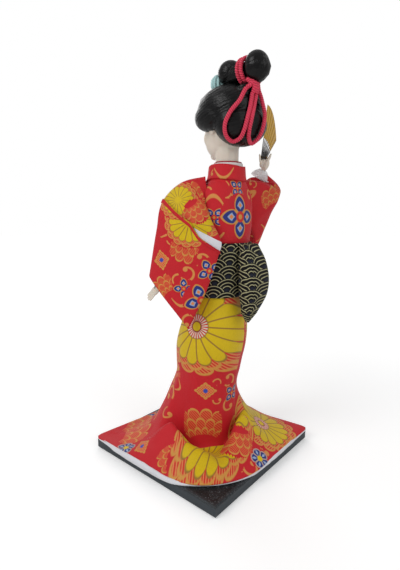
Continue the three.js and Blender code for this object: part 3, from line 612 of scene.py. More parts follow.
def brocade():
    """Red silk woven with gold and coloured motifs."""
    f = Finish("red brocade", RED, 0.55, Specular_IOR_Level=0.25, Sheen_Weight=0.05)
    cloth_mm = f.scaled(f.uv(), MAP_MM)
    threads = f.use(THREADS, Vector=cloth_mm, Per_mm=1.6)
    wear = f.use(WEAR, Vector=f.own())
    ground = f.mix(f.times(wear["Slow"], 0.5), RED, colour(176, 22, 36))
    ground = f.mix(f.times(threads["Shade"], 0.3), ground, colour(222, 44, 52))
    x, y, _ = f.apart(f.uv("Motif"))
    which = f.sum("FLOOR", f.fit(x, 1 / KIND_STEP, 0.5))
    local = f.join(f.fit(which, -KIND_STEP, x), y)
    shade, worked = ground, 0.0
    for number, kind in enumerate(KINDS):
        drawn = f.use(MOTIFS[kind], Vector=local)
        here = f.times(drawn["Mask"], f.sum("COMPARE", which, number + 1, 0.5))
        shade = f.mix(here, shade, drawn["Color"])
        worked = f.add(worked, here, hold=True)
    glint = f.mix_value(worked, 1.0, f.fit(threads["Shade"], 0.7, 0.62))
    f.set("Base Color", f.scaled(shade, glint))
    f.set("Roughness", f.fit(worked, -0.12, 0.6))
    height = f.add(f.times(threads["Height"], 0.5), f.times(worked, 0.9))
    f.bump(f.add(height, f.times(wear["Fine"], 0.6)), 0.16, 0.8)
    return f.material


def obi_cloth():
    """Black silk with rows of wave scales in dull gold."""
    f = Finish("black and gold obi", colour(14, 14, 16), 0.5, Specular_IOR_Level=0.1)
    cloth_mm = f.scaled(f.uv(), MAP_MM)
    threads = f.use(THREADS, Vector=cloth_mm, Per_mm=1.5)
    waves = f.use(WAVES, Vector=cloth_mm, Size=9.6)
    black = f.mix(threads["Shade"], colour(6, 6, 7), colour(24, 23, 25))
    gold = f.mix(threads["Shade"], colour(136, 130, 88), colour(232, 226, 180))
    shade = f.mix(f.times(waves["Core"], 0.8), black, colour(36, 40, 54))
    f.set("Base Color", f.mix(f.times(waves["Line"], 0.86), shade, gold))
    f.set("Roughness", f.fit(waves["Line"], -0.15, 0.55))
    f.bump(f.add(f.times(threads["Height"], 0.6), waves["Line"]), 0.14, 0.8)
    return f.material


def plain_silk(name, base, deep, roughness=0.7, **settings):
    """Plain woven silk."""
    f = Finish(name, base, roughness, Sheen_Weight=0.3, Sheen_Roughness=0.4, **settings)
    place = f.own()
    wear = f.use(WEAR, Vector=place)
    threads = f.use(THREADS, Vector=place, Per_mm=1.8)
    shade = f.mix(f.times(wear["Slow"], 0.7), base, deep)
    f.set("Base Color", f.mix(f.times(threads["Shade"], 0.25), shade, deep))
    f.bump(f.add(threads["Height"], wear["Fine"]), 0.06, 0.7)
    return f


def sheer_silk():
    f = plain_silk("sheer white", colour(248, 246, 246), colour(236, 234, 236), 0.6)
    x, y, z = f.apart(f.own())
    net = f.sum("SINE", f.times(f.add(x, z), 9))
    f.set("Alpha", f.fit(net, 0.1, 0.5))
    return f.material


def rope_finish():
    """Crimson cord, with painted shade in the hollows between its strands and painted light on
    their crests.
    """
    f = Finish("red cord", colour(214, 36, 66), 0.55, Specular_IOR_Level=0.3, Sheen_Weight=0.1)
    x, y, _ = f.apart(f.uv())
    lay = f.add(f.times(y, MAP_MM / ROPE_PITCH), f.times(x, ROPE_STRANDS))
    twist = f.fit(f.sum("COSINE", f.times(lay, FULL_TURN)), 0.5, 0.5)
    fibres = f.cloudy(f.join(f.times(lay, 6.0), y), 3.0, 3)
    # Painted shade and light: darker in the hollows between the strands, lighter on their crests.
    shade = f.mix(twist, colour(158, 10, 38), colour(232, 48, 84))
    f.set("Base Color", f.mix(f.times(fibres, 0.4), shade, colour(238, 84, 112)))
    f.bump(f.fit(twist, 0.7, f.times(fibres, 0.5)), 0.25, 0.8)
    return f.material


def hair_finish(name, location, rotation, fineness=0.24):
    f = Finish(name, colour(12, 11, 12), 0.3, Specular_IOR_Level=0.22)
    strands = f.use(STRANDS, Vector=f.own(location, rotation), Fineness=fineness)
    f.set("Base Color", f.mix(strands["Locks"], colour(3, 3, 4), colour(12, 11, 12)))
    f.set("Roughness", f.fit(strands["Height"], 0.2, 0.14))
    height = f.fit(strands["Locks"], 1.4, strands["Height"])
    f.bump(height, 0.5, 1.0)
    return f.material


def lacquer():
    """Black lacquer with fine flecks of dust on top and softly rubbed edges."""
    f = Finish("black lacquer", colour(30, 31, 33), 0.35, Specular_IOR_Level=0.2)
    place = f.own()
    wear = f.use(WEAR, Vector=place)
    specks = f.below(0.63, f.cloudy(place, 1.6, 2, 0.7), 0.03)
    x, y, z = f.apart(place)
    top = f.below(BASE_TOP - 1.2, z, 0.4)
    board = f.mix(wear["Slow"], colour(14, 15, 16), colour(32, 35, 37))
    grain = f.cloudy(f.join(f.times(x, 0.05), f.times(y, 0.05), z), 1.6, 3, 0.6)
    side = f.mix(grain, colour(44, 49, 53), colour(70, 76, 81))
    rubbed = f.below(57.6, f.sum("MAXIMUM", f.size(x), f.size(y)), 0.5)
    shade = f.mix(top, side, board)
    shade = f.mix(f.times(top, specks, 0.55), shade, colour(140, 146, 150))
    shade = f.mix(f.times(top, rubbed, wear["Fine"], 0.3), shade, colour(92, 98, 104))
    f.set("Base Color", shade)
    f.set("Roughness", f.fit(wear["Fine"], 0.3, 0.28))
    f.bump(f.add(wear["Fine"], f.times(grain, 0.6)), 0.05, 0.6)
    return f.material


def painted(name, base, deep, roughness, **settings):
    """A smooth painted or polished finish that varies slowly."""
    f = Finish(name, base, roughness, **settings)
    wear = f.use(WEAR, Vector=f.own())
    f.set("Base Color", f.mix(wear["Slow"], base, deep))
    f.set("Roughness", f.fit(wear["Fine"], 0.25, roughness - 0.1))
    f.bump(wear["Fine"], 0.04, 0.5)
    return f.material


def gold_paper():
    f = Finish("gold leaf", colour(214, 168, 40), 0.35, Metallic=0.25)
    across = f.apart(f.uv())[0]
    # The half of each pleat that turns away, which gets painted shade.
    shaded_half = f.below(0.04, across, 0.004)
    fold = f.size(f.fit(across, 25.0, -1.0))
    place = f.own()
    wear = f.use(WEAR, Vector=place)
    flakes = f.cloudy(place, 0.5, 3, 0.7)
    shade = f.mix(flakes, colour(214, 148, 4), colour(252, 212, 40))
    # Painted shade: that half of each pleat is darker bronze, so the nearly flat leaf looks
    # pleated.
    shade = f.mix(f.times(shaded_half, 0.6), shade, colour(140, 92, 6))
    f.set("Base Color", f.mix(f.times(wear["Fine"], 0.4), shade, colour(150, 104, 18)))
    f.set("Roughness", f.fit(flakes, 0.3, 0.25))
    f.bump(f.fit(f.add(wear["Fine"], flakes), 0.06, fold), 1.4, 0.9)
    return f.material


def wadding():
    f = Finish("white wadding", colour(222, 218, 206), 0.95)
    place = f.own()
    fluff = f.cloudy(place, 0.9, 4, 0.7)
    f.set("Base Color", f.mix(fluff, colour(196, 190, 174), colour(232, 229, 220)))
    f.bump(fluff, 0.8, 0.8)
    return f.material


ROPE_PITCH = 1.35  # along the cord, from one strand to the next
ROPE_STRANDS = 2
ROUND_END = 0.35  # how much of its radius a cord's end is rounded over
HEAD_TURN = -12
NECK = V(-2.8, 19.2)
HEAD = FIGURE @ Matrix.Translation(NECK) @ turned(HEAD_TURN)
HEAD_SPIN = (0, 0, math.radians(HEAD_TURN))


def by_neck(back=0, up=0):
    """A place in metres, back from the neck's middle and up from the base's top."""
    return NECK.x * MM, (NECK.y + back) * MM, (BASE_TOP + up) * MM


def skin_finish(name, face=False):
    """Ivory paint with a soft shine. On the head it carries the painted face."""
    f = Finish(name, colour(222, 211, 196), 0.42, Subsurface_Weight=0.08, Coat_Weight=0.15)
    f.set("Subsurface Radius", (0.004, 0.002, 0.001))
    place = f.own(by_neck(), HEAD_SPIN)
    wear = f.use(WEAR, Vector=place)
    shade = f.mix(wear["Slow"], colour(226, 216, 202), colour(212, 200, 183))
    if face:
        x, y, z = f.apart(place)
        side = f.size(x)
        front = f.below(y, -9.0, 0.5)

        def spot(dx, dz, wide, high, soft=0.12):
            a = f.sum("DIVIDE", f.less(side, dx), wide)
            c = f.sum("DIVIDE", f.less(z, dz), high)
            far = f.far(a, c)
            return f.times(f.below(far, 1.0, soft), front)

        def bow(dx, dz, wide, drop, thick):
            a = f.sum("DIVIDE", f.less(side, dx), wide)
            height = f.less(dz, f.times(f.times(a, a), drop))
            off = f.size(f.less(z, height))
            slim = f.times(f.less(1.0, f.times(a, a), hold=True), thick)
            return f.times(f.below(off, slim, 0.08), front)

        shade = f.mix(f.times(spot(6.4, 228.6, 3.2, 2.4, 0.9), 0.3), shade, colour(226, 160, 146))
        shade = f.mix(f.times(bow(5.2, 240.3, 3.3, 1.5, 0.5), 0.85), shade, colour(74, 60, 54))
        shade = f.mix(spot(5.1, 234.9, 2.5, 0.95), shade, colour(234, 230, 224))
        shade = f.mix(spot(5.0, 234.9, 0.95, 0.95), shade, colour(34, 26, 24))
        shade = f.mix(bow(5.1, 236.1, 2.9, 0.9, 0.34), shade, colour(26, 20, 20))
        lips = f.any_of(spot(0.9, 225.1, 1.25, 0.62), spot(0.0, 224.35, 1.5, 0.7))
        shade = f.mix(lips, shade, colour(176, 34, 40))
        stray = f.cloudy(f.join(f.times(x, 1.6), f.times(z, 0.16)), 3.0, 2)
        nape = f.times(f.below(10.0, y, 0.5), f.below(215.0, z, 3.0), f.below(0.56, stray, 0.05))
        shade = f.mix(f.times(nape, 0.7), shade, colour(60, 52, 48))
    f.set("Base Color", shade)
    f.set("Roughness", f.fit(wear["Fine"], 0.16, 0.34))
    f.bump(wear["Fine"], 0.03, 0.5)
    return f.material


BROCADE = brocade()
OBI = obi_cloth()
LINING = plain_silk("white lining", WHITE, colour(198, 199, 206)).material
WHITE_SILK = plain_silk("white silk", colour(228, 226, 224), colour(200, 196, 196)).material
PIPING = plain_silk("dark red piping", colour(172, 20, 38), colour(126, 14, 26)).material
BLUE_SILK = plain_silk("pale blue silk", colour(200, 228, 228), colour(140, 194, 194), 0.5).material
SHEER = sheer_silk()
CORD = rope_finish()
LACQUER = lacquer()
SKIN = skin_finish("ivory skin")
FACE = skin_finish("ivory face", face=True)
GOLD_PAPER = gold_paper()
STICK = painted("black stick", colour(18, 17, 17), colour(34, 31, 29), 0.3, Coat_Weight=0.3)
BRASS = painted("rivet brass", colour(200, 160, 84), colour(168, 128, 58), 0.35, Metallic=1.0)
STEEL = painted("pin steel", colour(160, 162, 164), colour(120, 122, 126), 0.35, Metallic=1.0)
WOOD = painted("bare wood", colour(190, 150, 98), colour(160, 118, 70), 0.7)
WADDING = wadding()
HAIR = hair_finish("black hair", by_neck(8), HEAD_SPIN)
HAIR_OVER = hair_finish("black bun hair", by_neck(12, 267), (0, math.radians(90), 0), 0.3)


# Making pieces.


def piece(name, bm, place, finish, body="figure", stands_for=(), slot=None, thick=0.0):
    """Turns a bmesh into a finished piece that rides on a body, where one is given."""
    bmesh.ops.transform(bm, matrix=place, verts=bm.verts)
    mesh = bpy.data.meshes.new(name)
    bm.to_mesh(mesh)
    bm.free()
    mesh.shade_smooth()
    mesh.materials.append(finish)
    made = bpy.data.objects.new(name, mesh)
    bpy.context.scene.collection.objects.link(made)
    if thick:
        wall = made.modifiers.new("cloth", "SOLIDIFY")
        wall.thickness = thick * MM
        wall.offset = -1
        wall.use_quality_normals = True
    if body:
        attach(made, body)
    if stands_for:
        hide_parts(*stands_for)
    return made


def dress(name, bm, finish, stands_for, slot, thick, place=FIGURE, **laid):
    """A piece of the figure's clothes. Laid gives its flat size in metres, how it is held and what
    it rests on; it is not used."""
    piece(name, bm, place, finish, "figure", stands_for, slot, thick)


def face_out(bm):
    """Turns an open or closed skin so that its faces look away from its middle."""
    middle = sum((v.co for v in bm.verts), Vector()) / len(bm.verts)
    bm.normal_update()
    if sum(f.calc_area() * f.normal.dot(f.calc_center_median() - middle) for f in bm.faces) < 0:
        bmesh.ops.reverse_faces(bm, faces=bm.faces)
    return bm


def cloth(across, along, place, size, ring=False):
    """A sheet of cloth of a size in millimetres, bent by place(u, v), each from 0 to 1."""
    bm = bmesh.new()
    bmesh.ops.create_grid(bm, x_segments=across, y_segments=along, size=0.5)
    weave = bm.loops.layers.uv.new("UVMap")
    for face in bm.faces:
        for corner in face.loops:
            x, y, _ = corner.vert.co
            corner[weave].uv = ((x + 0.5) * size[0] / MAP_MM, (y + 0.5) * size[1] / MAP_MM)
    for vert in bm.verts:
        vert.co = place(vert.co.x + 0.5, vert.co.y + 0.5)
    if ring:
        bmesh.ops.remove_doubles(bm, verts=bm.verts, dist=1e-4)
    return face_out(bm)


MOTIF_DEPTH = 1.35  # how far off a motif's middle its cloth may lie, in the motif's radii
MOTIF_RIM = 1.02
NO_MOTIF = (0.0, 5.0)
FACING = -0.1  # how far the cloth may turn away from a motif that gives no limit


def add_motifs(bm, motifs):
    """Gives each corner its place in the first motif that covers it. A motif is its kind, the
    line that meets the cloth at its middle, its radius, its turn in degrees and, where given, how
    far the cloth may turn away from it."""
    tree = BVHTree.FromBMesh(bm)
    layer = bm.loops.layers.uv.new("Motif")
    laid = []
    for kind, (start, way), radius, spin, *least in motifs:
        middle, normal, _, _ = tree.ray_cast(start, way)
        if middle is None:
            continue
        if normal.dot(way) > 0:
            normal = -normal
        high = V(0, 0, 1) if abs(normal.z) < 0.93 else V(-middle.x, -middle.y, 0).normalized()
        up = (high - normal * high.dot(normal)).normalized()
        up = Matrix.Rotation(math.radians(spin), 3, normal) @ up
        facing = least[0] if least else FACING
        laid.append((KINDS.index(kind) + 1, middle, up.cross(normal), up, normal, radius, facing))
    for face in bm.faces:
        centre = face.calc_center_median()
        found = None
        for one in laid:
            number, middle, side, up, normal, radius, facing = one
            off = centre - middle
            if off.length > radius * MOTIF_DEPTH or face.normal.dot(normal) < facing:
                continue
            if off.dot(side) ** 2 + off.dot(up) ** 2 <= (MOTIF_RIM * radius) ** 2:
                found = one
                break
        for corner in face.loops:
            if found is None:
                corner[layer].uv = NO_MOTIF
            else:
                off = corner.vert.co - middle
                x, y = off.dot(side) / radius, off.dot(up) / radius
                corner[layer].uv = (number * KIND_STEP + clamp(x, -4, 4), y)
    return bm


OUTSIDE = 150  # a place outside the dress


def around(degrees, height):
    """A level line from outside to the body's middle."""
    way = V(math.cos(math.radians(degrees)), math.sin(math.radians(degrees)))
    x, y = spine(height)
    return V(x, y, height) + way * OUTSIDE, -way


def from_above(x, y):
    return V(x, y, OUTSIDE), V(0, 0, -1)


def tube(points, radius, around_it, twist=0.0):
    """A cord along points, its ends rounded. Twist is how far its strands stand proud."""
    length = length_of(points)
    last = len(points) - 1
    ways = [
        (points[min(i + 1, last)] - points[max(i - 1, 0)]).normalized() for i in range(last + 1)
    ]
    side = ways[0].orthogonal().normalized()
    frames = []
    for way in ways:
        side = (side - way * side.dot(way)).normalized()
        frames.append((side, way.cross(side)))

    def place(u, v):
        i = min(round(v * last), last)
        a, b = frames[i]
        turn = FULL_TURN * u
        run = v * length
        strand = math.cos(FULL_TURN * (run / ROPE_PITCH + ROPE_STRANDS * u))
        near_end = min(run, length - run) / (radius * ROUND_END)
        size = radius * (1 + twist * strand) * math.sqrt(clamp(1 - (1 - clamp(near_end)) ** 2, 0.0))
        return points[i] + (a * math.cos(turn) + b * math.sin(turn)) * size

    return cloth(around_it, last, place, (MAP_MM, length), ring=True)


def fused(bm, voxel, rounds):
    """One closed skin round everything in a bmesh, smoothed."""
    mesh = bpy.data.meshes.new("blank")
    bm.to_mesh(mesh)
    bm.free()
    blank = bpy.data.objects.new("blank", mesh)
    bpy.context.scene.collection.objects.link(blank)
    skin = blank.modifiers.new("skin", "REMESH")
    skin.mode = "VOXEL"
    skin.voxel_size = voxel
    whole = blank.evaluated_get(bpy.context.evaluated_depsgraph_get())
    out = bmesh.new()
    out.from_mesh(whole.to_mesh())
    whole.to_mesh_clear()
    bpy.data.objects.remove(blank)
    bpy.data.meshes.remove(mesh)
    for _ in range(rounds):
        bmesh.ops.smooth_vert(
            out, verts=out.verts, factor=0.5, use_axis_x=True, use_axis_y=True, use_axis_z=True
        )
    return out


def ball(bm, centre, size, turn=None, segments=32):
    place = Matrix.Translation(centre) @ (turn or Matrix()) @ Matrix.Diagonal((*size, 1))
    return bmesh.ops.create_uvsphere(
        bm, u_segments=segments, v_segments=segments // 2, radius=1, matrix=place
    )["verts"]


def beads(bm, points, radii, step=0.35):
    """A limb as a row of balls, for fused()."""
    count = max(int(length_of(points) / step), 2)
    for i, point in enumerate(spaced(points, count)):
        part = i / count * (len(radii) - 1)
        k = min(int(part), len(radii) - 2)
        radius = lerp(radii[k], radii[k + 1], part - k)
        middle = Matrix.Translation(point)
        bmesh.ops.create_icosphere(bm, subdivisions=2, radius=radius, matrix=middle)


# The hair cords.

CORD_RADIUS = 1.3
LOOPS = {
    "left": [
        (7.4, 26.2, 253.6), (9, 26, 251.2), (11.9, 25, 245.7), (17.4, 22.4, 238.4),
        (19.3, 19.9, 231.5), (16.4, 17.7, 225.3), (11.4, 18.3, 222.1), (9.4, 23.2, 223.7),
        (9.4, 27.2, 228.5), (8.6, 28.8, 234.8), (5.8, 28.2, 241.9), (3.6, 27.8, 250.8),
    ],
    "right": [
        (-3.2, 26.5, 253.4), (-4.4, 26.9, 250.8), (-5.2, 28.1, 246), (-6.8, 28.7, 239.5),
        (-4.6, 29.5, 230.5), (-3.8, 26.1, 224.5), (-1.4, 22.9, 221.5), (4, 25.6, 224),
        (6.3, 28.4, 228.7), (5.8, 29.8, 235.1), (2.9, 28.6, 242.3), (0.5, 27.9, 250.2),
    ],
}


def hair_cord(points):
    return tube(points, CORD_RADIUS, 14, 0.07)


def hair_cords():
    for side, route in LOOPS.items():
        points = spaced([V(*p) for p in route], 330)
        bm = hair_cord(points)
        loop = piece(
            f"hair_cord_{side}", bm, HEAD, CORD, "head", [f"cord_loop_{side}"], "red_cord"
        )
        path = [HEAD @ p for p in points[::11]]
        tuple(path[0])


hair_cords()


def cord_wrap_and_knot():
    reach = 8.1
    points = []
    for i in range(33):
        run = i / 32
        turn = math.radians(-76) + run * 1.92 * FULL_TURN
        points.append(V(
            reach * math.cos(turn),
            20.6 + 3.2 * (run - 0.5) * 2 - 0.15 * reach * math.sin(turn),
            265.8 + reach * math.sin(turn),
        ))
    bm = hair_cord(spaced(points, 420))
    piece("hair_cord_wrap", bm, HEAD, CORD, "head", ["cord_wrap"], "red_cord")
    bm = bmesh.new()
    for route in (
        [(-2.4, 25.4, 259.2), (-1.3, 27.6, 256.8), (-1.3, 27.9, 255.2), (-3.2, 26.6, 253.3)],
        [(-0.4, 25.6, 259.2), (0.4, 28.2, 256.8), (0.8, 28.9, 254), (0.6, 28.2, 250.2)],
        [(1.8, 25.8, 259.2), (2, 28.5, 256.8), (2, 29.1, 254), (2.1, 28.4, 250.6)],
        [(4.2, 25.6, 259.2), (3.6, 28.2, 256.8), (3.3, 28.9, 254), (3.6, 28.2, 250.4)],
        [(6.6, 25.4, 259.2), (5.3, 27.6, 256.8), (5.3, 27.9, 255.4), (7.4, 26.3, 253.6)],
    ):
        part = hair_cord(spaced([V(*p) for p in route], 60))
        mesh = bpy.data.meshes.new("turn")
        part.to_mesh(mesh)
        part.free()
        bm.from_mesh(mesh)
        bpy.data.meshes.remove(mesh)
    piece("hair_cord_knot", bm, HEAD, CORD, "head", ["cord_knot"], "red_cord")


cord_wrap_and_knot()


# The figure's own form, as height, x, y, and as height, half width, half depth.

spine = through([
    (0, 0, 0), (29, 0, 3), (52, -0.5, 4), (80, -2, 6.5), (107, -3.2, 10.5), (132, -4, 14),
    (157, -4, 17), (182, -3.3, 18.7), (200, -2.8, 19.2), (211, -2.6, 19.3),
])
girth = through([
    (0, 23.5, 23.5), (29, 23.5, 23.5), (50, 24, 23.8), (67, 25.5, 25.2), (80, 26.5, 26.3),
    (95, 25.2, 24.8), (108, 21.8, 20.6), (118, 19.4, 18.2), (132, 18.6, 17), (148, 19.2, 16.6),
    (160, 20.8, 16.8), (172, 22.8, 16.6), (182, 23.6, 15.2), (190, 22.6, 13.6), (196, 18.5, 12),
    (201, 13.4, 11.4), (206, 12.2, 11.2), (212, 12, 11.2),
])


def skin(height, angle, off):
    (x, y), (wide, deep) = spine(height), girth(height)
    return V(x + (wide + off) * math.cos(angle), y + (deep + off) * math.sin(angle), height)


OBI_BOTTOM, OBI_TOP = 117.5, 156.2
OBI_EASE, OBI_THICK = 0.5, 1.4
KNOT_BOTTOM, KNOT_TOP = 108, 155.5


def clothed(height):
    out = OBI_EASE + OBI_THICK
    return out * ease(height, OBI_BOTTOM - 5, OBI_BOTTOM) * (1 - ease(height, OBI_TOP, OBI_TOP + 5))


def clear_of_body(point, distance):
    (x, y), (wide, deep) = spine(point.z), girth(point.z)
    grow = clothed(point.z) + distance
    reach = math.hypot((point.x - x) / (wide + grow), (point.y - y) / (deep + grow))
    if reach >= 1:
        return point
    return V(x + (point.x - x) / reach, y + (point.y - y) / reach, point.z)


# Skirt and train.

HEM_HALF, HEM_DRAWN = 61.2, 9
COLUMN_FOOT, SKIRT_TOP = 60, 140
TRAIN_LEVEL = 1.8
# The rim of the pocket that the train folds into, round the near side: degrees, reach.
pocket_rim = through([
    (-8, 34), (12, 37), (27, 41.5), (38, 44), (46, 47.5), (54, 51), (62, 46.5), (70, 40.5),
    (84, 35), (96, 33.5), (112, 33),
])


def hem_reach(angle):
    c, s = math.cos(angle), math.sin(angle)
    corner = 48 if c > 0 and s > 0 else 22 if c < 0 and s < 0 else 5
    ax, ay = max(abs(c), 1e-9), max(abs(s), 1e-9)
    flat = HEM_HALF - corner
    along = flat * (ax + ay)
    if HEM_HALF * min(ax, ay) / max(ax, ay) <= flat:
        out = HEM_HALF / max(ax, ay)
    else:
        out = along + math.sqrt(along**2 - 2 * flat**2 + corner**2)
    return out - HEM_DRAWN * max(0, -math.cos(angle - math.pi / 4)) ** 0.7


def train_height(reach, flat=0.0):
    return TRAIN_LEVEL + 54 * math.exp(-(reach - 22) / 14) * (1 - flat * ease(reach, 34, 56))


def skirt_line(angle):
    degrees = (math.degrees(angle) + 180) % 360 - 180
    pocket = ease(degrees, -22, -2) * (1 - ease(degrees, 98, 116))
    flat = 0.92 * ease(degrees, -128, -100) * (1 - ease(degrees, -36, -14))
    hem = hem_reach(angle)

    def out(reach, height):
        return V(reach * math.cos(angle), reach * math.sin(angle), height)

    def flare(reach):
        return out(reach, train_height(reach, flat))

    rim = pocket_rim(clamp(degrees, -8, 112))[0]
    floor = max(train_height(rim) - 15, TRAIN_LEVEL + 1.4)
    half = (rim + hem) / 2
    return line_through([
        skin(COLUMN_FOOT + 13, angle, 0),
        skin(COLUMN_FOOT, angle, 0),
        flare(26).lerp(skin(34, angle, 0), pocket),
        flare(33).lerp(out(27.5, floor), pocket),
        flare(43).lerp(flare(rim), pocket),
        flare((43 + hem) / 2).lerp(out(half, train_height(half) + 2), pocket),
        out(hem, TRAIN_LEVEL + 0.2),
    ])


COLUMN_PART = 0.375
skirt_lines = {}


def skirt_point(t, angle):
    if t < COLUMN_PART:
        return skin(lerp(SKIRT_TOP, COLUMN_FOOT, t / COLUMN_PART), angle, 0)
    key = round(angle * 1e4)
    if key not in skirt_lines:
        skirt_lines[key] = skirt_line(angle)
    return skirt_lines[key]((1 + 5 * (t - COLUMN_PART) / (1 - COLUMN_PART)) / 6)


def drape(point, angle, t):
    """Soft folds of the skirt, deeper towards the train."""
    radial = V(math.cos(angle), math.sin(angle))
    wave = noise.noise(radial * 1.8 + V(4, 0, point.z * 0.03)) + 0.5 * noise.noise(
        radial * 4 + V(0, 9, point.z * 0.05)
    )
    deep = 0.9 * ease(t, 0.05, 0.4)
    return point + radial * wave * deep


def draped_skirt(t, angle):
    return drape(skirt_point(t, angle), angle, t)


def skirt_normal(t, angle):
    along = draped_skirt(t + 0.006, angle) - draped_skirt(t - 0.006, angle)
    across = draped_skirt(t, angle + 0.02) - draped_skirt(t, angle - 0.02)
    return across.cross(along).normalized() * -1


SKIRT_MOTIFS = [
    ("chrysanthemum", seen(196.5, 326.5), 36, 4),
    ("scales", seen(238, 441), 12, 150),
    ("open petals", from_above(25.5, 26.5), 28, 8, 0.2),
    ("chrysanthemum", seen(261, 423), 29, 20),
    ("floret", seen(126, 447.5), 7.5, 0),
    ("hatched leaf", seen(142, 446), 8.5, 90),
    ("scales", seen(137, 423), 15, 20),
    ("floret", seen(260, 458.5), 8, 0),
    ("curl", seen(250, 467), 7, 200),
    ("curl", seen(268, 449), 8, 20),
    ("scales", seen(203, 425), 15, 0),
    ("hatched leaf", seen(205.5, 391), 9, 90),
    ("blue flower", seen(231.8, 392.5), 8, 45),
    ("curl", seen(217, 383), 4, 60),
    ("curl", seen(217, 400), 4, 180),
    ("curl", seen(229, 380), 6, -60),
    ("curl", seen(228, 404), 6, 150),
    ("curl", seen(171, 393), 7.5, 60),
    ("curl", seen(166, 412), 5, 180),
    ("festoon", seen(177, 385), 6, 60),
    ("scales", seen(169, 459), 10, 150),
    ("scales", seen(199, 476), 17, 180),
    ("scales", seen(229, 452), 14, 150),
    ("chrysanthemum", around(-100, 78), 32, 0, 0.3),
    ("chrysanthemum", around(178, 100), 28, 0, 0.3),
    ("blue flower", around(-60, 112), 16, 0),
    ("blue flower", around(-150, 62), 15, 0),
    ("scales", around(-138, 108), 17, 0),
    ("scales", around(160, 58), 16, 0),
    ("floret", around(-118, 118), 8, 0),
    ("floret", around(-40, 76), 8, 0),
    ("curl", around(-80, 118), 8, 0),
    ("curl", around(-165, 82), 8, 90),
    ("scales", around(-52, 52), 15, 0),
    ("hatched leaf", around(-178, 66), 10, 0),
    ("chrysanthemum", from_above(-34, -38), 24, 0),
    ("blue flower", from_above(8, -46), 14, 20),
    ("blue flower", from_above(-46, 12), 13, -20),
    ("scales", from_above(38, -40), 16, 0),
    ("scales", from_above(-36, 44), 15, 0),
    ("floret", from_above(-12, -50), 7, 0),
    ("floret", from_above(-52, -12), 7, 0),
    ("floret", from_above(50, -16), 7, 0),
    ("curl", from_above(22, -34), 8, 0),
    ("curl", from_above(-30, 22), 8, 0),
    ("curl", from_above(-12, 50), 8, 0),
]


SEAM = math.radians(-135)  # the far corner, out of the camera's sight


def skirt():
    def place(u, v):
        return draped_skirt(v, SEAM + FULL_TURN * u)

    bm = cloth(224, 120, place, (160, 190), ring=True)
    dress(
        "kimono_skirt", add_motifs(bm, SKIRT_MOTIFS), BROCADE, ["skirt"], "red_brocade", 0.9,
        flat=(0.17, 0.19), held="draped", rests_on=["leg_core", "base_plate"],
    )

    def under(u, v):
        angle, t = SEAM + FULL_TURN * u, lerp(0.52, 0.997, v)
        point = draped_skirt(t, angle) - skirt_normal(t, angle) * lerp(1.9, 1.3, ease(t, 0.8, 0.97))
        return V(point.x, point.y, max(point.z, 0.6))

    bm = cloth(160, 60, under, (130, 134), ring=True)
    dress(
        "train_lining_silk", bm, LINING, ["train_lining"], "white_lining", 0.4,
        flat=(0.13, 0.134), held="draped", rests_on=["base_plate"],
    )


skirt()

# How thick the lining's roll under the hem is, round the hem: degrees, half its height.
roll_sizes = through([
    (-135, 0.8), (-90, 0.8), (-56, 0.8), (-45, 0.9), (-36, 1.3), (-22, 2.3), (-6, 2.6),
    (8, 2.2), (22, 1.6), (34, 0.9), (42, 0.4), (58, 0.4), (70, 0.9), (90, 1.3), (115, 1.3),
    (134, 1.0), (150, 0.8), (225, 0.8),
])


def hem_roll():
    """The white lining rolled out under the hem, thick at the near left side and gone at the near
    corner."""

    def place(u, v):
        angle = SEAM + FULL_TURN * u
        ripple = 1 + 0.12 * noise.noise(V(math.cos(angle), math.sin(angle)) * 9)
        high = roll_sizes(math.degrees(angle))[0] * ripple
        wide = min(high, 1.5)
        turn = FULL_TURN * v
        # A thin roll stays under the hem, a thick one swells out past it.
        reach = hem_reach(angle) - 1.2 + 1.8 * ease(high, 0.6, 2.0) + wide * math.cos(turn)
        level = max(0.9, high * 0.36) + high * math.sin(turn)
        return V(reach * math.cos(angle), reach * math.sin(angle), level)

    bm = cloth(288, 14, place, (400, 12), ring=True)
    piece("train_hem_roll", bm, FIGURE, LINING, "figure", (), "white_lining")


hem_roll()


BODICE_MOTIFS = [
    ("blue flower", seen(240.4, 216.8), 15.5, 0),
    ("blue flower", seen(237.4, 188.3), 7, 45),
    ("blue flower", seen(214, 217.5), 8, 45),
    ("festoon", seen(213, 204), 9, 180),
    ("festoon", seen(226, 191), 8, 60),
    ("curl", seen(195.5, 212), 4.5, 0),
    ("curl", seen(204, 223), 4, 200),
    ("festoon", seen(216, 231), 8.5, 0),
    ("curl", seen(250, 196), 5.5, 20),
    ("curl", seen(206, 192), 5, 60),
    ("chrysanthemum", around(-90, 180), 15, 0),
    ("blue flower", around(-40, 186), 9, 0),
    ("blue flower", around(-140, 170), 9, 0),
    ("curl", around(-64, 168), 6, 0),
    ("curl", around(180, 178), 7, 0),
    ("curl", around(0, 172), 7, 0),
    ("floret", around(-120, 188), 5, 0),
]


def bodice():
    def place(u, v):
        angle = FULL_TURN * u
        point = skin(lerp(SKIRT_TOP + 0.3, 200.4, v), angle, 0)
        return point + V(math.cos(angle), math.sin(angle)) * 0.5 * noise.noise(point * 0.09)

    bm = cloth(128, 64, place, (125, 62), ring=True)
    dress(
        "kimono_bodice", add_motifs(bm, BODICE_MOTIFS), BROCADE, ["bodice"], "red_brocade", 0.9,
        flat=(0.125, 0.062), held="draped", rests_on=["torso_core"],
    )


bodice()

# The outer collar: how far from its middle at the nape, degrees round the neck, height.
collar_way = through([
    (0, 0, 203.2), (0.3, 80, 204.8), (0.5, 130, 203), (0.68, 180, 194.5), (0.84, 204, 180),
    (1, 222, 163),
])
COLLAR_WIDTH, COLLAR_THICK = 9.6, 1.2


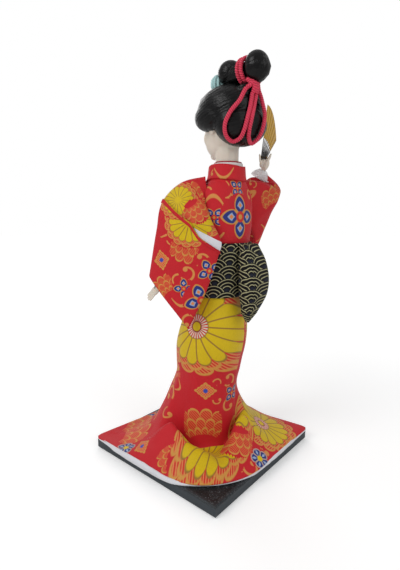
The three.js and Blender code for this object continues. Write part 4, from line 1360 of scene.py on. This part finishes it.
def collar_point(run, across):
    def place(at):
        turn, height = collar_way(abs(at))
        return math.radians(90 + math.copysign(turn, at)), height

    angle, height = place(run)
    (a0, h0), (a1, h1) = place(run - 0.01), place(run + 0.01)
    wide = girth(height)[0]
    way = V((a1 - a0) * wide, h1 - h0).normalized()
    shift = (across - 0.5) * COLLAR_WIDTH
    over = (COLLAR_THICK + 0.3) * ease(run, 0.3, 0.62) if run > 0 else 0
    here = height + shift * way.x
    crown = 0.25 * (1 - (2 * across - 1) ** 2)
    off = 0.5 + over + COLLAR_THICK - 0.3 + crown
    return skin(here, angle - shift * way.y / max(wide, 13), off)


def collars():
    bm = cloth(144, 8, lambda u, v: collar_point(lerp(-1, 1, u), v), (150, COLLAR_WIDTH))
    motifs = [
        ("festoon", seen(223.5, 171), 7.5, 0),
        ("festoon", seen(206, 176), 6, -60),
        ("floret", around(-60, 190), 4, 0),
        ("floret", around(-120, 176), 4, 0),
        ("curl", around(0, 203), 4, 0),
        ("curl", around(180, 203), 4, 0),
    ]
    dress(
        "kimono_collar", add_motifs(bm, motifs), BROCADE, ["outer_collar"], "red_brocade", 1.1,
        flat=(0.162, 0.0103), held="folded", rests_on=["bodice"],
    )

    def ring(name, node, reach, top, dip, thick, finish, slot):
        def place(u, v):
            angle = FULL_TURN * u
            x, y = spine(200)
            low = max(0.0, -math.sin(angle)) ** 2
            height = lerp(200.7, top - dip * low, v)
            out = reach + 0.15 * math.sin(3 * angle)
            return V(x + out * math.cos(angle), y + out * math.sin(angle), height)

        dress(
            name, cloth(96, 8, place, (60, 10), ring=True), finish, [node], slot, thick,
            flat=(0.066, 0.011), held="folded", rests_on=["head"],
        )

    ring("inner_piping", "piping_collar", 10.3, 211.6, 5, 0.8, PIPING, "dark_red_piping")
    ring("inner_white_collar", "white_collar", 11.1, 210.6, 5, 0.6, WHITE_SILK, "white_silk")


collars()


def obi():
    def belt(u, v):
        angle = FULL_TURN * u
        height = lerp(OBI_BOTTOM, OBI_TOP, v)
        edge = 0.5 * (1 - hump(v, 0, 0.03)) * (1 - hump(v, 1, 0.03))
        return skin(height, angle, OBI_EASE + OBI_THICK - 0.5 + edge)

    bm = cloth(128, 40, belt, (128, 39), ring=True)
    dress(
        "obi_belt_silk", bm, OBI, ["obi_belt"], "black_gold_obi", 1.2,
        flat=(0.128, 0.039), held="folded", rests_on=["skirt", "bodice"],
    )

    # The knot: height, x, y, half width, half depth.
    form = through([
        (108, -0.5, 41.6, 5.5, 4.6), (115, -3.4, 41.8, 9, 6.6), (123, -5, 42, 11, 7.6),
        (132, -5.2, 42, 11.4, 7.8), (142, -5.2, 40.6, 11, 7), (150, -5, 38.8, 10.2, 5.2),
        (155.5, -5, 37, 8.8, 3.4),
    ])

    def rounded_square(height, turn, reach):
        x, y, wide, deep = form(height)
        turn += 0.785  # the cloth's seam lies at a corner
        return V(
            x + wide * reach * squared(math.cos(turn), 0.55),
            y + deep * reach * squared(math.sin(turn), 0.55),
            height,
        )

    def panel(u, v):
        turn = FULL_TURN * u
        part, open_by = capped(v, 0.12)
        dent = 1 - 0.05 * hump(part, 0.12, 0.08) - 0.04 * hump(part, 0.9, 0.05)
        return rounded_square(lerp(KNOT_BOTTOM, KNOT_TOP, part), turn, dent * open_by)

    bm = cloth(96, 70, panel, (60, 62), ring=True)
    made = piece("obi_knot_silk", bm, FIGURE, OBI, "figure", ["obi_knot"], "black_gold_obi")

    def tail(u, v):
        turn = FULL_TURN * u
        part, open_by = capped(v, 0.1)
        top = rounded_square(KNOT_BOTTOM, turn, open_by)
        top.z -= 0.3
        tip = V(3.2 + top.x * 0.1, 42.6 + (top.y - 42) * 0.3, 101.5)
        return top.lerp(tip, part)

    bm = cloth(64, 24, tail, (30, 12), ring=True)
    made = piece("obi_tail_silk", bm, FIGURE, OBI, "figure", ["obi_tail"], "black_gold_obi")


obi()


# Sleeves, as rows of their top edge, middle and bottom edge, from the armhole to the end.

SLEEVES = {
    "left": [
        [V(12.5, 11, 200.5), V(18, 13.5, 186), V(20, 17.7, 172.1)],
        [V(27, 2.5, 195), V(25.9, 17, 177.4), V(17.7, 30.6, 157.6)],
        [V(35.1, -4.7, 184.6), V(30.4, 13.8, 164.9), V(18.4, 27.9, 146.7)],
        [V(37.6, -8.8, 166.7), V(31.5, 9.1, 143.1), V(23, 22, 124)],
        [V(40, -14, 134.8), V(36.4, 0.5, 115.6), V(30.2, 11.7, 96.8)],
    ],
    "right": [
        [V(-15.5, 15.5, 200.5), V(-21.5, 16.5, 187.5), V(-24.5, 17.5, 175.5)],
        [V(-33.7, 28, 200.4), V(-36, 25.7, 183.9), V(-37.7, 20.3, 157.8)],
        [V(-43.9, 35.5, 195.4), V(-45.8, 26.6, 177.2), V(-43.1, 11.3, 137.7)],
        [V(-47.7, 31.8, 200.3), V(-47.5, 14.3, 178.2), V(-44, -3, 130)],
        [V(-46, 24.5, 203.5), V(-45, 2, 196), V(-43, -14, 146)],
    ],
}
# Half a sleeve's thickness: at its top edge by the armhole and further on, and at its hem.
SLEEVE_TOP_HALF = {"left": (8, 8), "right": (7.5, 5.6)}
SLEEVE_HEM_HALF = 1.9
patch_lines = {
    side: [line_through([row[k] for row in rows]) for k in range(3)]
    for side, rows in SLEEVES.items()
}


def patch(side, t, s):
    top, middle, bottom = (line(clamp(t)) for line in patch_lines[side])
    bend = middle * 2 - (top + bottom) * 0.5
    return top * (1 - s) ** 2 + bend * 2 * (1 - s) * s + bottom * s * s


def sleeve_point(side, t, angle, inset):
    """A place on a sleeve: t along it, the angle round it, 0 at its top edge, and how far it lies
    inside the sleeve's skin."""
    s = (1 - math.cos(angle)) / 2
    cover = squared(math.sin(angle), 0.5)
    along = patch(side, t + 0.01, s) - patch(side, t - 0.01, s)
    down = patch(side, t, s + 0.01) - patch(side, t, s - 0.01)
    normal = along.cross(down).normalized() * (-1 if side == "left" else 1)
    armhole, wrist = SLEEVE_TOP_HALF[side]
    half = lerp(SLEEVE_HEM_HALF, lerp(armhole, wrist, ease(t, 0, 0.4)), (1 - s) ** 1.3)
    edge = down.normalized() * (math.cos(angle) * inset)
    point = patch(side, t, s) + normal * (cover * (half - inset)) + edge
    spot = V(t * 7 + 4 * s, s * 1.5, 5 if side == "left" else 9)
    folds = noise.noise(spot) * 1.1 * ease(s, 0.05, 0.4)
    point += normal * folds
    clear = half * (1 + cover) + (abs(cover) if side == "left" else -cover) * inset
    return clear_of_body(point, 0.3 + clear * ease(t, -0.02, 0.14))


LEFT_MOTIFS = [
    ("scales", seen(197, 211), 8.5, 215),
    ("open petals", seen(178, 200), 13, 0),
    ("scales", seen(190, 193), 9, 30),
    ("open petals", seen(190, 222), 17, 10),
    ("blue flower", seen(201.5, 300.5), 12.5, 20),
    ("blue flower", seen(183.7, 288.7), 7.5, 0),
    ("blue flower", seen(209.5, 271), 9, 30),
    ("curl", seen(202, 261), 6, -60),
    ("curl", seen(187, 274), 6, -70),
    ("curl", seen(178, 280), 5, 60),
    ("hatched leaf", seen(161.5, 260), 7.5, 10),
    ("scales", seen(184, 250), 10, 160),
    ("scales", seen(163.5, 287.5), 9, 40),
    ("festoon", seen(181, 300), 7, 10),
    ("curl", seen(189, 321), 6, 60),
    ("festoon", seen(166, 225), 10, 80),
    ("curl", seen(171, 240), 4, 120),
]
RIGHT_MOTIFS = [
    ("festoon", seen(262, 180), 8, 0),
    ("curl", seen(253, 184), 3.5, 0),
    ("curl", seen(248, 194), 5, 200),
    ("scales", seen(272, 198), 9, 20),
    ("festoon", seen(261, 233), 8, 90),
    ("chrysanthemum", (V(-120, -20, 160), V(1, 0.35, 0).normalized()), 15, 0),
    ("blue flower", (V(-120, 10, 182), V(1, 0.1, 0).normalized()), 9, 0),
    ("scales", (V(-120, -20, 186), V(1, 0.2, 0).normalized()), 10, 0),
    ("curl", (V(-120, 20, 158), V(1, 0, 0)), 7, 0),
    ("curl", (V(-120, -40, 146), V(1, 0.35, 0).normalized()), 6, 0),
    ("blue flower", (V(60, -40, 168), V(-1, 0.3, 0).normalized()), 9, 0),
]


# The left sleeve is folded over on its outer side: degrees round it, how far along its fold is,
# and where the lining that shows above the fold begins.
fold_line = through([
    (185, 0.41, 0.25), (199, 0.422, 0.265), (221, 0.445, 0.315), (238, 0.469, 0.36),
    (252, 0.484, 0.4), (262, 0.465, 0.425), (270, 0.447, 0.443), (281, 0.461, 0.46),
    (296, 0.477, 0.477), (335, 0.496, 0.496), (350, 0.5, 0.5),
])
# A crease along the upper part: how far along, degrees round it.
crease_line = through([(0.1, 290), (0.164, 289), (0.301, 286), (0.387, 282.4), (0.441, 276.8)])


UPPER_SHARE, FOLD_SHARE = 0.46, 0.5  # of the cloth's rows, down to the fold and round it
FOLD_HEIGHT = 1.2
LINING_INSET = 1.1


def folded_sleeve(u, v):
    degrees = 360 * u
    folded = ease(degrees, 186, 199) * (1 - ease(degrees, 332, 346))
    start = fold_line(clamp(degrees, 185, 350))[0] + 0.02
    back = 0.05 * folded
    if v < UPPER_SHARE:
        t = start * v / UPPER_SHARE
        inset = 0.9 * hump(degrees, crease_line(clamp(t, 0.1, 0.441))[0], 6) * ease(t, 0.04, 0.14)
    elif v < FOLD_SHARE:
        part = (v - UPPER_SHARE) / (FOLD_SHARE - UPPER_SHARE)
        t, inset = start - back * part, -FOLD_HEIGHT * folded * math.sin(part * math.pi / 2)
    else:
        part = (v - FOLD_SHARE) / (1 - FOLD_SHARE)
        t, inset = lerp(start - back, 1, part), -FOLD_HEIGHT * folded * (1 - 0.85 * part)
    return sleeve_point("left", t, math.radians(degrees), inset)


def plain_sleeve(u, v):
    return sleeve_point("right", v, FULL_TURN * u, 0)


def sleeves():
    for side, place, motifs in (
        ("left", folded_sleeve, LEFT_MOTIFS), ("right", plain_sleeve, RIGHT_MOTIFS)
    ):
        bm = add_motifs(cloth(144, 128, place, (150, 80), ring=True), motifs)
        dress(
            f"kimono_sleeve_{side}", bm, BROCADE, [f"{side}_sleeve"], "red_brocade", 0.8,
            flat=(0.107, 0.065), held="hung", rests_on=["bodice"],
        )

        def lining(u, v):
            return sleeve_point(side, lerp(0.1, 0.995, v), FULL_TURN * u, LINING_INSET)

        bm = cloth(96, 72, lining, (140, 70), ring=True)
        dress(
            f"sleeve_lining_{side}", bm, LINING, [f"{side}_sleeve_lining"], "white_lining", 0.5,
            flat=(0.1, 0.062), held="hung", rests_on=[f"kimono_sleeve_{side}"],
        )

    def turned_lining(u, v):
        degrees = lerp(192, 268, u)
        fold, start = fold_line(degrees)
        return sleeve_point("left", lerp(start, fold + 0.006, v), math.radians(degrees), -0.45)

    dress(
        "sleeve_lining_turned", cloth(48, 12, turned_lining, (30, 12)), LINING, (),
        "white_lining", 0.3,
        flat=(0.0145, 0.01), held="folded", rests_on=["kimono_sleeve_left"],
    )


sleeves()


# Arms, hands and cuffs.

FAN_PIVOT = V(-45, 22.7, 219.5)
FAN_ACROSS = V(math.cos(math.radians(202)), math.sin(math.radians(202)))
FAN_FACE = Matrix.Rotation(math.radians(7), 3, FAN_ACROSS) @ V(-FAN_ACROSS.y, FAN_ACROSS.x)
# An arm: its root, its places along and down its sleeve, the way its palm looks, what its hand
# reaches for, and how far the hand sits beyond the wrist.
ARMS = {
    "left": (
        V(10, 13.5, 191),
        [(0.02, 0.32), (0.25, 0.17), (0.5, 0.15), (0.75, 0.15), (1, 0.16)],
        V(-1, -0.2, 0), None, 5,
    ),
    "right": (
        V(-15, 18, 191),
        [(0.02, 0.36), (0.25, 0.22), (0.5, 0.17), (0.75, 0.15), (1, 0.1)],
        FAN_FACE, FAN_PIVOT - FAN_FACE * 4.4, 6,
    ),
}


def arm_of(side):
    """The arm's path, and the place of the hand at its end."""
    root, places, palm, aim, reach = ARMS[side]
    path = [root] + [patch(side, along, down) for along, down in places]
    wrist = path[-1]
    end = (aim - wrist) if aim else (wrist - path[-2])
    end = end.normalized() * reach
    path.append(wrist + end)
    z = end.normalized()
    x = z.cross(palm).normalized()
    y = z.cross(x)
    seat = Matrix((x, y, z)).transposed().to_4x4()
    seat.translation = path[-1]
    return path, seat


FINGERS = [(-2.4, 6.2), (-0.8, 7.6), (0.8, 7.9), (2.3, 6.9)]  # place across the palm, length
THUMBS = {
    "left": [V(-1.8, -0.3, 0.6), V(-3.6, -1.4, 3.4), V(-3.9, -2.3, 6.4)],
    "right": [V(1.6, -0.6, 0.6), V(3.4, -4, 4), V(2.6, -7.3, 8.6)],
}


# A cuff: its mouth's radius, where it starts and ends along the wrist, and its flat length.
CUFFS = {"left": (3.6, -5.8, -1.2, 0.01), "right": (7.4, -7.0, -0.4, 0.028)}


def hands():
    for side, bent in (("left", 0.7), ("right", 0)):
        path, seat = arm_of(side)
        bm = bmesh.new()
        ball(bm, V(0, 0, 3.2), (3.3, 1.5, 4.2) if side == "left" else (3.5, 2.5, 4.6))
        ball(bm, V(THUMBS[side][0].x, -0.5, 1.6), (1.4, 1.3, 2.4))
        if side == "right":
            ball(bm, V(1, -2.2, 4), (2.4, 2.8, 3.8))
        beads(bm, [V(0, 0, -2.6), V(0, 0, 1.8)], [1.75, 2.0])
        for across, length in FINGERS:
            beads(
                bm,
                [
                    V(across * 0.8, 0, 4.4),
                    V(across, -bent * 0.3, 5 + length * 0.5),
                    V(across * 1.02, -bent, 4.6 + length),
                ],
                [0.95, 0.84, 0.78, 0.62],
            )
        beads(bm, THUMBS[side], [1.1, 0.9, 0.7])
        bm = fused(bm, 0.3, 3)
        if side == "left":
            wrist = Matrix.Translation(seat.translation)
            seat = wrist @ Matrix.Rotation(math.radians(32), 4, LOOK) @ wrist.inverted() @ seat
            seat = seat @ Matrix.Translation((0, 0, -1.5)) @ Matrix.Scale(0.9, 4)
        piece(f"hand_{side}", bm, FIGURE @ seat, SKIN, "figure", [f"{side}_hand"], "ivory_skin")

        wide, low, high, flat = CUFFS[side]

        def ruffle(u, v):
            angle = FULL_TURN * u
            reach = lerp(2.5, wide, math.sin(math.pi / 2 * (1 - v)) ** 0.8)
            reach *= 1 + (1 - v) * (0.06 * math.cos(7 * angle) + 0.04 * math.cos(4 * angle + 1))
            return V(reach * math.cos(angle), reach * math.sin(angle), lerp(low, high, v))

        bm = cloth(96, 14, ruffle, (30, 6), ring=True)
        dress(
            f"cuff_silk_{side}", bm, SHEER, [f"{side}_cuff"], "sheer_white", 0.3, FIGURE @ seat,
            flat=(flat, 0.01), held="gathered", rests_on=[f"hand_{side}"],
        )

        start, end = path[2].lerp(path[3], 0.15), path[4].lerp(path[5], 0.5)
        bm = tube(spaced([start, path[3], path[4], end], 60), 1.95, 16)
        node = f"{side}_arm_padding"
        made = piece(
            f"arm_wadding_{side}", bm, FIGURE, WADDING, "figure", [node], "white_wadding"
        )


hands()


# Stuffing inside the dress.


def stuffing(name, node, bottom, top, inset):
    """Fills the dress from one height to another, up to some way inside its skin."""

    def place(u, v):
        angle = FULL_TURN * u
        part, open_by = capped(v, 0.1)
        height = lerp(bottom, top, part)
        x, y = spine(height)
        return V(x, y, height).lerp(skin(height, angle, -inset(height)), open_by)

    bm = cloth(64, 60, place, (120, 120), ring=True)
    piece(name, bm, FIGURE, WADDING, "figure", [node], "packed_paper")


def leg_inset(height):
    return 0.6 + lerp(3.5, 1.3, ease(height, 46, 58))


stuffing("leg_stuffing", "leg_core", 0.3, 125, leg_inset)
stuffing("torso_stuffing", "torso_core", 125.3, 200, lambda height: 1.9)


# Head and hair.


def head():
    bm = bmesh.new()
    ball(bm, V(0, -1.5, 237), (14, 16.4, 19.6), segments=48)
    ball(bm, V(0, -5.5, 227), (11.6, 12.0, 13), segments=48)
    ball(bm, V(0, -13.2, 217.6), (3.4, 3.4, 2.9))
    for side in (-1, 1):
        ball(bm, V(side * 6.6, -9.6, 228.6), (5, 5.6, 6))
        ball(bm, V(side * 14.1, 0.4, 232.5), (1.3, 2.6, 4.2), turned(side * 12))
    # The neck and its flat foot, then the nose.
    beads(bm, [V(0, 0, 201.2), V(0, 0, 214), V(0, -0.4, 226)], [8.9, 8.3, 8.8], 1.0)
    bmesh.ops.create_cone(
        bm, cap_ends=True, segments=48, radius1=9, radius2=8.6, depth=10,
        matrix=Matrix.Translation((0, 0, 205.3)),
    )
    beads(bm, [V(0, -16.4, 236.5), V(0, -17.6, 232.6), V(0, -18.2, 230.6)], [1.0, 1.25, 1.5])
    for side in (-1, 1):
        beads(bm, [V(side * 1.2, -16.9, 230.3), V(side * 1.3, -16.6, 230.1)], [0.95, 0.9])
    bm = fused(bm, 0.5, 6)
    for vert in bm.verts:
        p = vert.co
        if p.y > -6 or p.z < 214:
            continue
        # Sunken eyes with full lids, lips and the hollow between and under them.
        push = 0.0
        for side in (-1, 1):
            push += 1.5 * hump(p.x, side * 5.1, 3.0) * hump(p.z, 236.2, 2.6)
            push -= 0.75 * hump(p.x, side * 5.1, 2.3) * hump(p.z, 234.8, 1.2)
        push -= 0.7 * hump(p.x, 0, 2.3) * hump(p.z, 225.0, 0.8)
        push -= 0.75 * hump(p.x, 0, 1.9) * hump(p.z, 223.4, 0.8)
        push += 0.35 * hump(p.x, 0, 2.2) * hump(p.z, 224.2, 0.35)
        push += 0.5 * hump(p.x, 0, 2.6) * hump(p.z, 221.4, 1.0)
        vert.co.y += push
    piece("head_and_neck", bm, HEAD, FACE, "head", ["head"], "ivory_skin")


head()


# The masses of hair over the cap: middle, half sizes.
HAIR_FORMS = [
    (V(0, 13.5, 234.6), (19.6, 15.2, 14)),
    (V(13.6, -0.8, 240.4), (9, 14.6, 9.6)),
    (V(-13.6, -0.8, 240.4), (9, 14.6, 9.6)),
    (V(0, -12.8, 252), (13.2, 8.4, 7.8)),
    (V(0.6, 21.5, 254.4), (8.6, 5.5, 4.6)),
]
HAIR_NODES = ["hair_cap", "hair_nape_roll", "hair_left_lobe", "hair_right_lobe", "hair_front_roll"]


def groove(point, pitch, depth):
    """How far a combed lock sinks at a place: the locks rise from the face to the back."""
    turn = math.atan2(abs(point.x), -point.y)
    run = point.z - 7 * turn + 1.5 * noise.noise(point * 0.07)
    return -depth * (0.5 + 0.5 * math.cos(FULL_TURN * run / pitch)) ** 3


def hair():
    bm = bmesh.new()
    ball(bm, V(0, 2.6, 244.5), (21.5, 24.4, 17.4), segments=48)
    cut = bmesh.ops.bisect_plane(
        bm, geom=bm.verts[:] + bm.edges[:] + bm.faces[:], clear_inner=True,
        plane_co=V(0, -22, 243), plane_no=V(0, 0.42, 1).normalized(),
    )["geom_cut"]
    rim = [part for part in cut if isinstance(part, bmesh.types.BMEdge)]
    bmesh.ops.holes_fill(bm, edges=rim)
    for centre, size in HAIR_FORMS:
        ball(bm, centre, size, segments=48)
    bm = fused(bm, 0.6, 8)
    bm.normal_update()
    for vert in bm.verts:
        vert.co += vert.normal * groove(vert.co, 2.6, 0.16)
    piece("hair_mass", bm, HEAD, HAIR, "head", HAIR_NODES, "black_hair")

    bm = bmesh.new()
    ball(bm, V(0, 2.6, 269.4), (8.4, 8.6, 8))
    beads(bm, [V(0, 3, 266.6), V(0, 14, 265.8), V(0, 25, 265.8)], [6.4, 6.2, 6.6], 0.8)
    bm = fused(bm, 0.45, 4)
    piece("front_bun_hair", bm, HEAD, HAIR_OVER, "head", ["front_bun"], "black_hair")
    bm = bmesh.new()
    ball(bm, V(0, 27.5, 266.8), (8.4, 8.2, 9.6))
    beads(bm, [V(0, 25.2, 265.9), V(0, 27, 265.9), V(0, 29, 265.9)], [7.2, 7.8, 8.0], 0.6)
    bm = fused(bm, 0.45, 4)
    flat = 25.2  # the bun's front is pressed nearly flat here
    for vert in bm.verts:
        if vert.co.y < flat:
            vert.co.y = flat - (flat - vert.co.y) * 0.1
    piece("top_bun_hair", bm, HEAD, HAIR_OVER, "head", ["top_bun"], "black_hair")


hair()


SORT_WAY = V(0.71, 1.37, 2.93)  # puts a new ball's points and faces in the same order each run


def ornament():
    """Pleated silk in front of the buns."""
    bm = bmesh.new()
    bmesh.ops.create_uvsphere(bm, u_segments=140, v_segments=36, radius=1)
    bm.verts.sort(key=lambda vert: vert.co.dot(SORT_WAY))
    bm.faces.sort(key=lambda face: face.calc_center_median().dot(SORT_WAY))
    for vert in bm.verts:
        p = vert.co.copy()
        turn = math.atan2(p.y, p.x)
        pleat = 1 + 0.09 * math.cos(14 * turn) + 0.05 * noise.noise(p * 3.0)
        vert.co = V(7.4 * p.x * pleat, -7.4 + 4.4 * p.y * pleat, 264.2 + 7 * p.z)
    made = piece("hair_silk", bm, HEAD, BLUE_SILK, "head", ["hair_ornament"], "pale_blue_silk")


ornament()


# Folding fan.

FAN_STEP, FAN_FIRST = 10.5, -2  # degrees from stick to stick, and of the first
FAN_RADIUS, LEAF_START, LEAF_MIDDLE, LEAF_THICK = 37.6, 14, 27, 0.12
STICK_THICK, STICK_PITCH = 0.35, 0.65
FAN_AXIS = -FAN_FACE
FAN = FIGURE @ Matrix.Translation(FAN_PIVOT) @ Matrix(
    (FAN_ACROSS, FAN_AXIS.cross(FAN_ACROSS), FAN_AXIS)
).transposed().to_4x4()


def fan():
    def body(n):
        return "figure" if n == 1 else f"fan_{n}"

    def on_stick(n, reach, layer):
        angle = math.radians(FAN_FIRST + (n - 1) * FAN_STEP)
        return V(reach * math.sin(angle), reach * math.cos(angle), layer)

    def pleat(first, last, fold):
        """The leaf from one stick to the next, its fold between them. The last edge tilts."""

        def place(u, v):
            n = lerp(first, last, u)
            reach = lerp(LEAF_START, FAN_RADIUS, v)
            deep = fold * (1 - abs(2 * u - 1) if last <= 7 else -u) * reach / FAN_RADIUS
            return on_stick(n, reach, (n - 4) * STICK_PITCH + STICK_THICK + 0.06 + deep)

        return cloth(8, 24, place, (8, 25))

    def leaf(name, bm, rides_on, nodes=()):
        return piece(name, bm, FAN, GOLD_PAPER, rides_on, nodes, "gold_leaf", LEAF_THICK)

    for n in range(1, 7):
        nodes = [f"fan_leaf_{n}"] + (["fan_leaf_7"] if n == 6 else [])
        made = leaf(f"fan_pleat_{n}", pleat(n, n + 1, 0.1), None, nodes)
        start, end = (FAN @ on_stick(stick, LEAF_MIDDLE, 0) for stick in (n, n + 1))
        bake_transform(made)
        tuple(start)
        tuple(end)
    leaf("fan_edge_first", pleat(0.6, 1, 0.0), body(1))
    leaf("fan_edge_last", pleat(7, 7.6, 4.5), body(7))


fan()


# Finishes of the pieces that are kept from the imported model.

KEPT = {
    "base_plate": LACQUER, "foot_pin_left": STEEL, "foot_pin_right": STEEL, "waist_dowel": WOOD,
    "neck_peg": WOOD, "left_arm_wire": STEEL, "right_arm_wire": STEEL, "fan_rivet": BRASS,
}
KEPT.update({f"fan_stick_{n}": STICK for n in range(1, 8)})
for name, finish in KEPT.items():
    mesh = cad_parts[name].data
    mesh.materials.clear()
    mesh.materials.append(finish)


# The table and the light.

LAMPS_AIM = V(0, 0, 0.14)
TABLE_WHITE = (0.86, 0.86, 0.86, 1)


def studio():
    bm = bmesh.new()
    bmesh.ops.create_grid(bm, x_segments=1, y_segments=1, size=4)
    mesh = bpy.data.meshes.new("table")
    bm.to_mesh(mesh)
    bm.free()
    f = Finish("white table", TABLE_WHITE, 0.9)
    sight = f.node("ShaderNodeLightPath").outputs["Is Camera Ray"]
    reach = f.use(ROUND, Vector=f.own())["Reach"]
    far = f.node(
        "ShaderNodeMapRange",
        {"Value": reach, "From Min": 90.0, "From Max": 420.0},
        interpolation_type="SMOOTHSTEP",
    ).outputs[0]
    away = f.times(far, sight)
    f.set("Base Color", f.mix(away, TABLE_WHITE, (0, 0, 0, 1)))
    f.set("Emission Color", (1, 1, 1, 1))
    f.set("Emission Strength", f.times(sight, f.fit(far, 0.72, 0.28)))
    mesh.materials.append(f.material)
    table = bpy.data.objects.new("table", mesh)
    table.location.z = -0.0002
    bpy.context.scene.collection.objects.link(table)

    world = bpy.data.worlds.new("studio")
    bpy.context.scene.world = world
    world.use_nodes = True
    b = Bench(world.node_tree)
    back = world.node_tree.nodes["Background"]
    path = b.node("ShaderNodeLightPath").outputs
    b.put(back.inputs["Color"], (1, 1, 1, 1))
    b.put(back.inputs["Strength"], b.mix_value(path["Is Camera Ray"], 0.5, 1.0))

    def lamp(name, place, power, size):
        light = bpy.data.lights.new(name, "AREA")
        light.energy = power
        light.size = size
        made = bpy.data.objects.new(name, light)
        place = Vector(place)
        made.matrix_world = Matrix.Translation(place) @ looking(LAMPS_AIM - place)
        bpy.context.scene.collection.objects.link(made)

    lamp("key", (0.75, -0.15, 0.75), 3.7, 0.5)
    lamp("fill", (0.1, 0.85, 0.55), 1.8, 0.6)
    lamp("front", (-0.5, -0.8, 0.6), 2.0, 0.6)


studio()
bpy.context.scene.view_settings.view_transform = "Standard"

bpy.context.view_layer.update()
